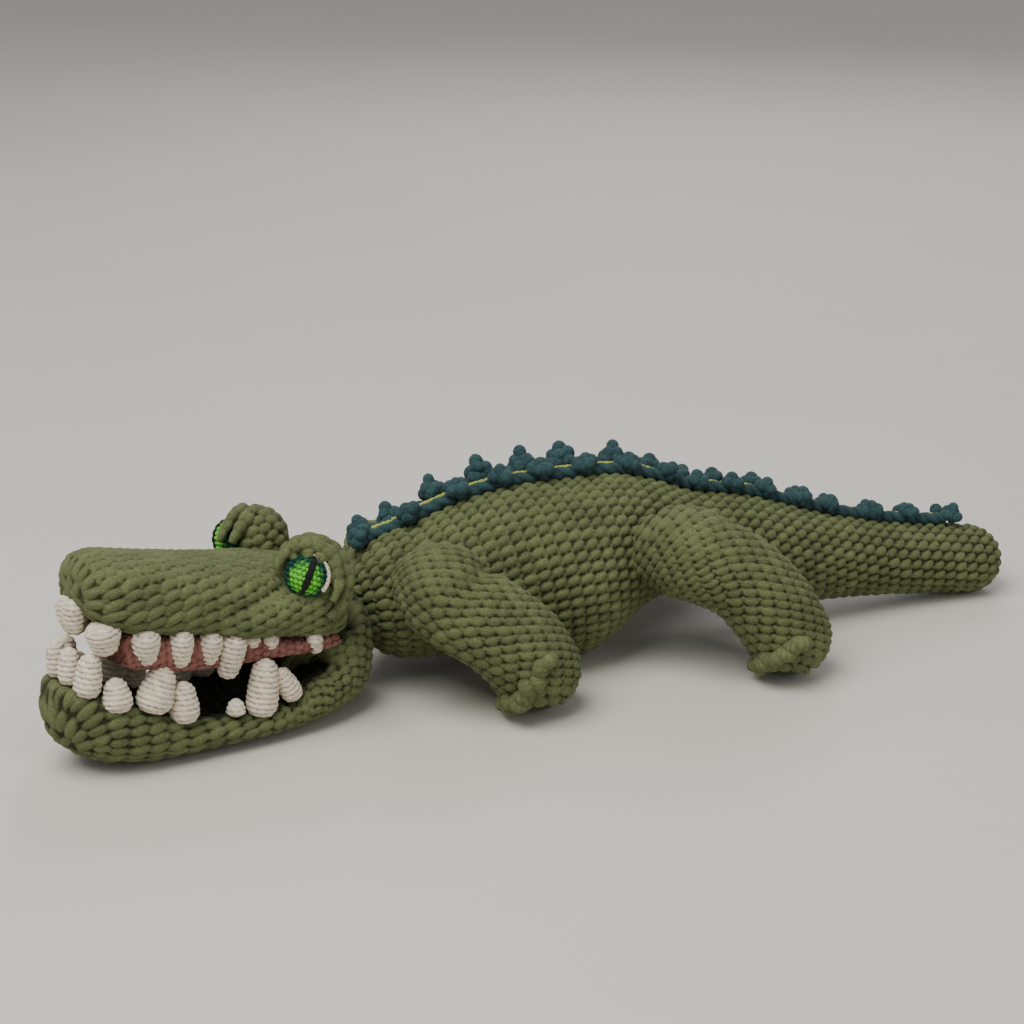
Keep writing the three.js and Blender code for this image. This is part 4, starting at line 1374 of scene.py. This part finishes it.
class CROCODILE_OT_snout(bpy.types.Operator):
    """Crochet the snout and the palate under it"""

    bl_idname = "crocodile.snout"
    bl_label = "Snout and palate"

    def execute(self, context):
        sizes = stitches()
        tree = surface_tree("snout_skin")
        low, high = head_extent("snout_skin")
        depth = SNOUT_END_DEPTH
        rows = head_rows(tree, low[0] + depth, high[0] - depth, sizes.mesh_step, depth, depth, 5)
        grid = wrap(
            tree, rows, NOSEWARD, HEAD_LEFT, round_angles(SNOUT_COLUMNS),
            soften=(2.6, 3.2), covers=teeth_tree("upper"),
        )
        grid = self.cheeked(grid)
        ahead = in_head(grid)[..., 0].mean(axis=1)
        length = sizes.head_length * (0.76 + 0.44 * eased(ahead, 100 * MM, 170 * MM))
        on_top = eased(outward_normals(grid)[0][..., 2], 0.45, 0.85)
        knit = Knit(
            sizes.head_width, depth=2.5 * MM * (1 - 0.4 * on_top), proud=0.9 * MM, halved_above=0.72,
            lumps=(
                Lump(half_long=0.64, half_wide=0.5, lean=14),
                Lump(onward=0.4, sideways=0.45, half_long=0.3, half_wide=0.3, height=0.75),
            ),
        )
        grid = self.cleared(grid)
        field = even_rounds(grid, length)
        piece = crocheted("snout", grid, field, knit, olive_material("olive_snout", gap_shade=0.42))
        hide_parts("snout_skin", "snout_filling")
        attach(piece, "upper_jaw")
        self.make_palate()
        return {"FINISHED"}

    def cheeked(self, grid):
        """The snout with its cheeks swollen below the valley that runs down from each eye."""
        normals = outward_normals(grid)[0]
        ahead, left, height = np.moveaxis(in_head(grid), 2, 0)
        below = CHEEK_VALLEY[1] - (ahead - CHEEK_VALLEY[0]) * CHEEK_FALL - height
        lift = CHEEK_SWELL * np.exp(-((below - 12 * MM) / (8 * MM)) ** 2)
        lift = lift - CHEEK_DIP * np.exp(-(below / (4 * MM)) ** 2)
        beside = eased(np.abs(left), 22 * MM, 32 * MM) * eased(ahead, 58 * MM, 70 * MM)
        return grid + normals * (lift * beside * (1 - eased(ahead, 112 * MM, 146 * MM)))[..., None]

    def cleared(self, grid):
        """The snout drawn in at its hinge, where the back of the lower head lies round it."""
        normals = outward_normals(grid)[0]
        ahead, left, height = np.moveaxis(in_head(grid), 2, 0)
        middle = 1 - 0.6 * eased(np.abs(left), 18 * MM, 32 * MM)
        near = (1 - eased(ahead, 60 * MM, 80 * MM)) * (1 - eased(height, 56 * MM, 72 * MM))
        near = np.maximum(near * middle, 1 - eased(ahead, 50 * MM, 66 * MM))
        return grid - normals * (HINGE_ROOM * near)[..., None]

    def make_palate(self):
        """The rust palate crocheted under the snout."""
        tree = surface_tree("palate")
        low, high = head_extent("palate")
        depth = PALATE_END_DEPTH
        rows = head_rows(tree, low[0] + depth, high[0] - depth, PALATE_STEP, depth, depth, 4)
        grid = wrap(
            tree, rows, NOSEWARD, HEAD_LEFT, round_angles(PALATE_COLUMNS, 3.2),
            soften=(3, 3), covers=teeth_tree("upper"),
        )
        under = eased(-outward_normals(grid)[0][..., 2], -0.2, 0.5)
        front = eased(in_head(grid)[..., 0], 62 * MM, 160 * MM)
        grid[..., 2] -= PALATE_SAG * front * softened(under, 2, 2)
        knit = Knit(width=4.2 * MM, depth=1.2 * MM, proud=0.5 * MM)
        rust = yarn_material("rust_crochet", tuple(yarns().rust), gap_shade=0.45, sheen=0.3)
        piece = crocheted("palate_lining", grid, even_rounds(grid, PALATE_ROUND), knit, rust)
        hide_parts("palate")
        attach(piece, "upper_jaw")


def gaze(side, turn, rise):
    """A direction in the part's frame: turned from straight ahead to the side, and raised."""
    turn, rise = math.radians(turn), math.radians(rise)
    flat = math.cos(rise)
    local = (flat * math.cos(turn), side * flat * math.sin(turn), math.sin(rise))
    return np.array(local) @ HEAD_AXES


def eye_axes(side, look_turn):
    """The way an eye looks, the way to its rear corner and the way up across it."""
    look = gaze(side, look_turn, EYE_RISE)
    up = unit(UP - look * np.dot(UP, look))
    back = np.cross(look, up)
    if np.dot(back, NOSEWARD) > 0:
        back = -back
    return look, back, up


def eye_arc(name, side, ahead, reach, begin, finish, step=1.2 * MM):
    """Points on an arch round an eye, from its rear corner over its top to the front."""
    look, back, up = eye_axes(side, LID_LOOK)
    middle = head_point(*EYES[name]["place"]) + look * ahead
    count = int(math.radians(finish - begin) * np.mean(reach) / step)
    reach = np.interp(np.linspace(0, 1, count), np.linspace(0, 1, np.size(reach)), np.ravel(reach))
    angles = np.radians(np.linspace(begin, finish, count))
    around = np.cos(angles)[:, None] * back + np.sin(angles)[:, None] * up
    return middle + reach[:, None] * around


class CROCODILE_OT_eyes(bpy.types.Operator):
    """Crochet the eyes with their mounds, lids, rims and slits"""

    bl_idname = "crocodile.eyes"
    bl_label = "Eyes"

    def execute(self, context):
        for name, side in SIDES:
            self.make_mound(name, side)
            self.make_ball(name, side)
            self.make_lid(name, side)
        return {"FINISHED"}

    def make_mound(self, name, side):
        """The mound that carries an eye."""
        look, back, up = eye_axes(side, LID_LOOK)
        centre = head_point(MOUND_PLACE[0], side * MOUND_PLACE[1], MOUND_PLACE[2])
        radii = (MOUND_RADIUS, MOUND_RADIUS, MOUND_TALL)
        grid = ball_grid(centre, radii, (look, back, up), *MOUND_ROWS_COLUMNS)
        knit = Knit(
            width=8.2 * MM, depth=2.6 * MM, shift=0.4, proud=0.9 * MM,
            lumps=(Lump(half_long=0.56, half_wide=0.6, lean=30),),
        )
        field = even_rounds(grid, MOUND_ROUND)
        piece = crocheted(
            "mound_" + name, grid, field, knit, shared_material("olive_mound", olive_material),
            ball=(head_point(*EYES[name]["place"]), EYE_RADIUS),
        )
        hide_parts("eye_mound_" + name)
        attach(piece, "upper_jaw")

    def make_ball(self, name, side):
        """The ball of an eye, bright in the middle and dark at its edge, and its slit."""
        look, back, up = eye_axes(side, abs(EYES[name]["look"]))
        centre = head_point(*EYES[name]["place"])
        lean = math.radians(SLIT_LEAN)
        pole = unit(up * math.cos(lean) + back * math.sin(lean))
        across = np.cross(pole, look)
        grid = ball_grid(centre, (EYE_RADIUS,) * 3, (pole, -look, across), *EYE_ROWS_COLUMNS)
        knit = Knit(
            width=3.0 * MM, depth=1.6 * MM, proud=0.5 * MM,
            lumps=(Lump(half_long=0.54, half_wide=0.54, lean=12),),
        )
        bright = unit(look - back * BRIGHT_AHEAD - up * BRIGHT_BELOW)
        away = 1 - np.einsum("ijk,k->ij", unit(grid - centre), bright)
        iris = shared_material(
            "iris_crochet",
            lambda label: yarn_material(
                label, tuple(yarns().iris), gap_shade=0.25, pile_scale=1700.0, sheen=0.1, bump=0.3,
                painted=iris_painted(tuple(yarns().iris_edge)),
            ),
        )
        field = even_rounds(grid, EYE_ROUND)
        piece = crocheted("eye_" + name, grid, field, knit, iris, away=away)
        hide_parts("eye_ball_" + name)
        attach(piece, "upper_jaw")
        self.make_slit(name, centre, look, pole)

    def make_slit(self, name, centre, look, pole):
        """The slit of an eye, a row of black bumps down its middle."""
        angles = np.radians(np.linspace(-SLIT_REACH, SLIT_REACH, 60))
        line = centre + (EYE_RADIUS - 0.7 * MM) * (
            np.cos(angles)[:, None] * look + np.sin(angles)[:, None] * pole
        )
        bumps = 0.78 + 0.22 * np.abs(np.sin(np.linspace(0, SLIT_BUMPS * math.pi, 60)))
        ends = np.sin(np.linspace(0.15, math.pi - 0.15, 60)) ** 0.4
        black = shared_material(
            "black_crochet", lambda label: yarn_material(label, tuple(yarns().dark), gap_shade=0.6, sheen=0.2)
        )
        parts = [rope_part(line, SLIT_RADIUS * bumps * ends, 14)]
        slit = joined_object("slit_" + name, parts, black)
        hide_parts("eye_slit_" + name)
        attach(slit, "upper_jaw")

    def make_lid(self, name, side):
        """The rolls of the lid over an eye, and the white rim behind it."""
        olive = shared_material("olive_lid", olive_material)
        for label, (ahead, reaches, begin, finish, radius) in (("lid_", LID_ROLL), ("brow_", BROW_ROLL)):
            line = eye_arc(name, side, ahead, reaches, begin, finish)
            ends = np.sin(np.linspace(0.1, math.pi - 0.1, len(line))) ** 0.5
            angles = round_angles(LID_COLUMNS, 4.0)
            grid = tube_grid(line, radius * ends, angles, gaze(side, LID_LOOK, 0))
            knit = Knit(
                width=7.2 * MM, depth=1.5 * MM, proud=0.7 * MM,
                lumps=(Lump(half_long=0.6, half_wide=0.6, lean=12),),
            )
            field = even_rounds(grid, LID_ROUND)
            piece = crocheted(label + name, grid, field, knit, olive)
            if label == "lid_":
                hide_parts("eyelid_" + name)
            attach(piece, "upper_jaw")
        ahead, reach, begin, finish, radii = RIM_ROLL
        line = eye_arc(name, side, ahead, reach, begin, finish)
        cotton = shared_material("cotton_rim", lambda label: yarn_material(label, tuple(yarns().cotton)))
        thick = np.linspace(*radii, len(line))
        rim = joined_object("rim_" + name, [rope_part(line, thick, 10, turn=RIM_TURN)], cotton)
        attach(rim, "upper_jaw")


class CROCODILE_OT_teeth(bpy.types.Operator):
    """Crochet the teeth in ribbed cotton, each on its own place in the lip"""

    bl_idname = "crocodile.teeth"
    bl_label = "Teeth"

    def execute(self, context):
        cotton = yarn_material(
            "cotton_crochet", tuple(yarns().cotton), gap_shade=0.36, pile_scale=1500.0, sheen=0.2, bump=0.35
        )
        trees = {"upper": surface_tree("snout_skin"), "lower": surface_tree("jaw_skin")}
        names = sorted(name for name in frame["nodes"] if name.startswith("tooth_"))
        for i, name in enumerate(names):
            tree = trees["upper" if "upper" in name else "lower"]
            self.make_tooth(name, i, cotton, tree)
        return {"FINISHED"}

    def lip_height(self, tree, root, way):
        """The height of the lip beside a tooth's root, which stands below or above it."""
        edges = []
        for ahead in (-9 * MM, 9 * MM):
            for out in (0.0, 3 * MM, 6 * MM):
                left = root[1] + math.copysign(out, root[1])
                start = head_point(root[0] + ahead, left, OVERHEAD if way > 0 else UNDERNEATH)
                hit = tree.ray_cast(Vector(start), Vector(-way * UP), RAY_REACH)[0]
                if hit is not None:
                    edges.append(hit.z * way)
        return max(edges) * way

    def make_tooth(self, name, seed, cotton, tree):
        """One tooth, laid along its CAD node from its root in the lip to its round tip."""
        points = node_points(name)
        way = -1.0 if "upper" in name else 1.0
        heights = points[:, 2] * way
        span = heights.max() - heights.min()
        tip = points[heights > heights.max() - 0.25 * span].mean(axis=0)
        root = points[heights < heights.min() + 0.35 * span].mean(axis=0)
        ahead = unit(tip - root)
        runs = (points - root) @ ahead
        radius = np.percentile(np.linalg.norm(points - root - runs[:, None] * ahead, axis=1), 88)
        radius *= ROUND_TOOTH_SHARE if name == ROUND_TOOTH else 1.0
        lip = self.lip_height(tree, in_head(root[None])[0], way)
        held = FRONT_HELD_SHARE if in_head(root)[0] > FRONT_TEETH else CHEEK_HELD_SHARE
        begin = max(runs.min(), (lip - way * TOOTH_SUNK - root[2]) / ahead[2])
        begin = min(begin, runs.min() + held * (runs.max() - runs.min()))
        finish = max(runs.max() - radius * 0.85, begin + 0.4 * radius)
        if name == ROUND_TOOTH:
            middle = (begin + finish) / 2
            begin, finish = (middle + share * radius for share in ROUND_TOOTH_SPAN)
        count = max(8, int((finish - begin) / (0.5 * MM)))
        luck = float(scatter(np.array(seed + 1.0), np.array(2.0)))
        part = np.linspace(0, 1, count)
        bend = np.cross(ahead, HEAD_LEFT) * (luck - 0.5) * TOOTH_BEND
        line = root + np.linspace(begin, finish, count)[:, None] * ahead
        line = line + (part ** 2)[:, None] * bend
        line = line - np.sign((root - HEAD_START) @ HEAD_LEFT) * TOOTH_INWARD * HEAD_LEFT
        plump = radius * (1.0 + 0.1 * np.sin(part * math.pi) - 0.12 * part ** 2)
        rounding = np.clip(1 - part * (finish - begin) / (0.8 * radius), 0, 1)
        plump *= 0.3 + 0.7 * np.sqrt(1 - rounding ** 2)
        angles = round_angles(TOOTH_COLUMNS, 4.0)
        grid = tube_grid(line, plump, angles, HEAD_LEFT, round_end=0.5 * MM)
        knit = Knit(
            width=4.4 * MM, depth=1.5 * MM, proud=0.6 * MM,
            lumps=(Lump(half_long=0.54, half_wide=0.72, lean=5),),
        )
        field = even_rounds(grid, stitches().tooth_rib)
        piece = crocheted(name.replace("tooth", "fang"), grid, field, knit, cotton)
        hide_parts(name)
        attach(piece, "upper_jaw" if "upper" in name else "lower_head")


# Stage

class CROCODILE_OT_stage(bpy.types.Operator):
    """Set the floor, the lights and the camera"""

    bl_idname = "crocodile.stage"
    bl_label = "Stage"

    def execute(self, context):
        half = FLOOR_HALF
        mesh = bpy.data.meshes.new("floor")
        corners = [(-half, -half, 0), (half, -half, 0), (half, half, 0), (-half, half, 0)]
        mesh.from_pydata(corners, [], [(0, 1, 2, 3)])
        floor = link("floor", mesh, plain_material("pale_floor", FLOOR_COLOUR, 0.7, 3.0))
        for name, settings in LIGHTS.items():
            self.light(name, *settings)
        world = bpy.data.worlds.new("soft_room")
        world.use_nodes = True
        sky = world.node_tree.nodes["Background"]
        sky.inputs["Color"].default_value = SKY_COLOUR
        sky.inputs["Strength"].default_value = SKY_STRENGTH
        context.scene.world = world
        self.camera(context)
        return {"FINISHED"}

    def light(self, name, place, target, size, power, colour):
        """A soft square light that looks at a point."""
        data = bpy.data.lights.new(name, "AREA")
        data.size = size
        data.energy = power
        data.color = colour
        lamp = bpy.data.objects.new(name, data)
        lamp.location = place
        lamp.rotation_euler = (Vector(target) - Vector(place)).to_track_quat("-Z", "Y").to_euler()
        bpy.context.scene.collection.objects.link(lamp)

    def camera(self, context):
        """The photograph's view: from the front left and a little above."""
        azimuth, elevation = math.radians(CAMERA_AZIMUTH), math.radians(CAMERA_ELEVATION)
        data = bpy.data.cameras.new("camera")
        data.sensor_width = CAMERA_SENSOR
        data.lens = CAMERA_SENSOR * FOCAL_PIXELS / PHOTO_PIXELS
        camera = bpy.data.objects.new("camera", data)
        camera.location = CAMERA_PLACE
        flat = math.cos(elevation)
        look = Vector((-math.sin(azimuth) * flat, math.cos(azimuth) * flat, -math.sin(elevation)))
        camera.rotation_euler = look.to_track_quat("-Z", "Y").to_euler()
        context.scene.collection.objects.link(camera)
        context.scene.camera = camera


class CROCODILE_PT_panel(bpy.types.Panel):
    """The crocodile's pieces, yarns and stitches"""

    bl_idname = "CROCODILE_PT_panel"
    bl_label = "Plush crocodile"
    bl_space_type = "VIEW_3D"
    bl_region_type = "UI"
    bl_category = "Crocodile"

    def draw(self, context):
        layout = self.layout
        for operator in OPERATORS:
            layout.operator(operator.bl_idname)
        for group in (context.scene.crocodile_yarns, context.scene.crocodile_stitches):
            box = layout.box()
            for name in group.bl_rna.properties.keys():
                if name not in ("rna_type", "name"):
                    box.prop(group, name)


OPERATORS = (
    CROCODILE_OT_body,
    CROCODILE_OT_crest,
    CROCODILE_OT_legs,
    CROCODILE_OT_lower_head,
    CROCODILE_OT_snout,
    CROCODILE_OT_eyes,
    CROCODILE_OT_teeth,
    CROCODILE_OT_stage,
)
CLASSES = (YarnColours, StitchSizes, *OPERATORS, CROCODILE_PT_panel)


def register():
    """Registers the classes and puts the yarns and stitches on the scene."""
    for item in CLASSES:
        bpy.utils.register_class(item)
    bpy.types.Scene.crocodile_yarns = PointerProperty(type=YarnColours)
    bpy.types.Scene.crocodile_stitches = PointerProperty(type=StitchSizes)


def unregister():
    """Takes away what register adds."""
    del bpy.types.Scene.crocodile_stitches
    del bpy.types.Scene.crocodile_yarns
    for item in reversed(CLASSES):
        bpy.utils.unregister_class(item)


def main():
    """Makes every piece in order."""
    register()
    bpy.ops.crocodile.body()
    bpy.ops.crocodile.crest()
    bpy.ops.crocodile.legs()
    bpy.ops.crocodile.lower_head()
    bpy.ops.crocodile.snout()
    bpy.ops.crocodile.eyes()
    bpy.ops.crocodile.teeth()
    bpy.ops.crocodile.stage()


if __name__ == "__main__":
    main()
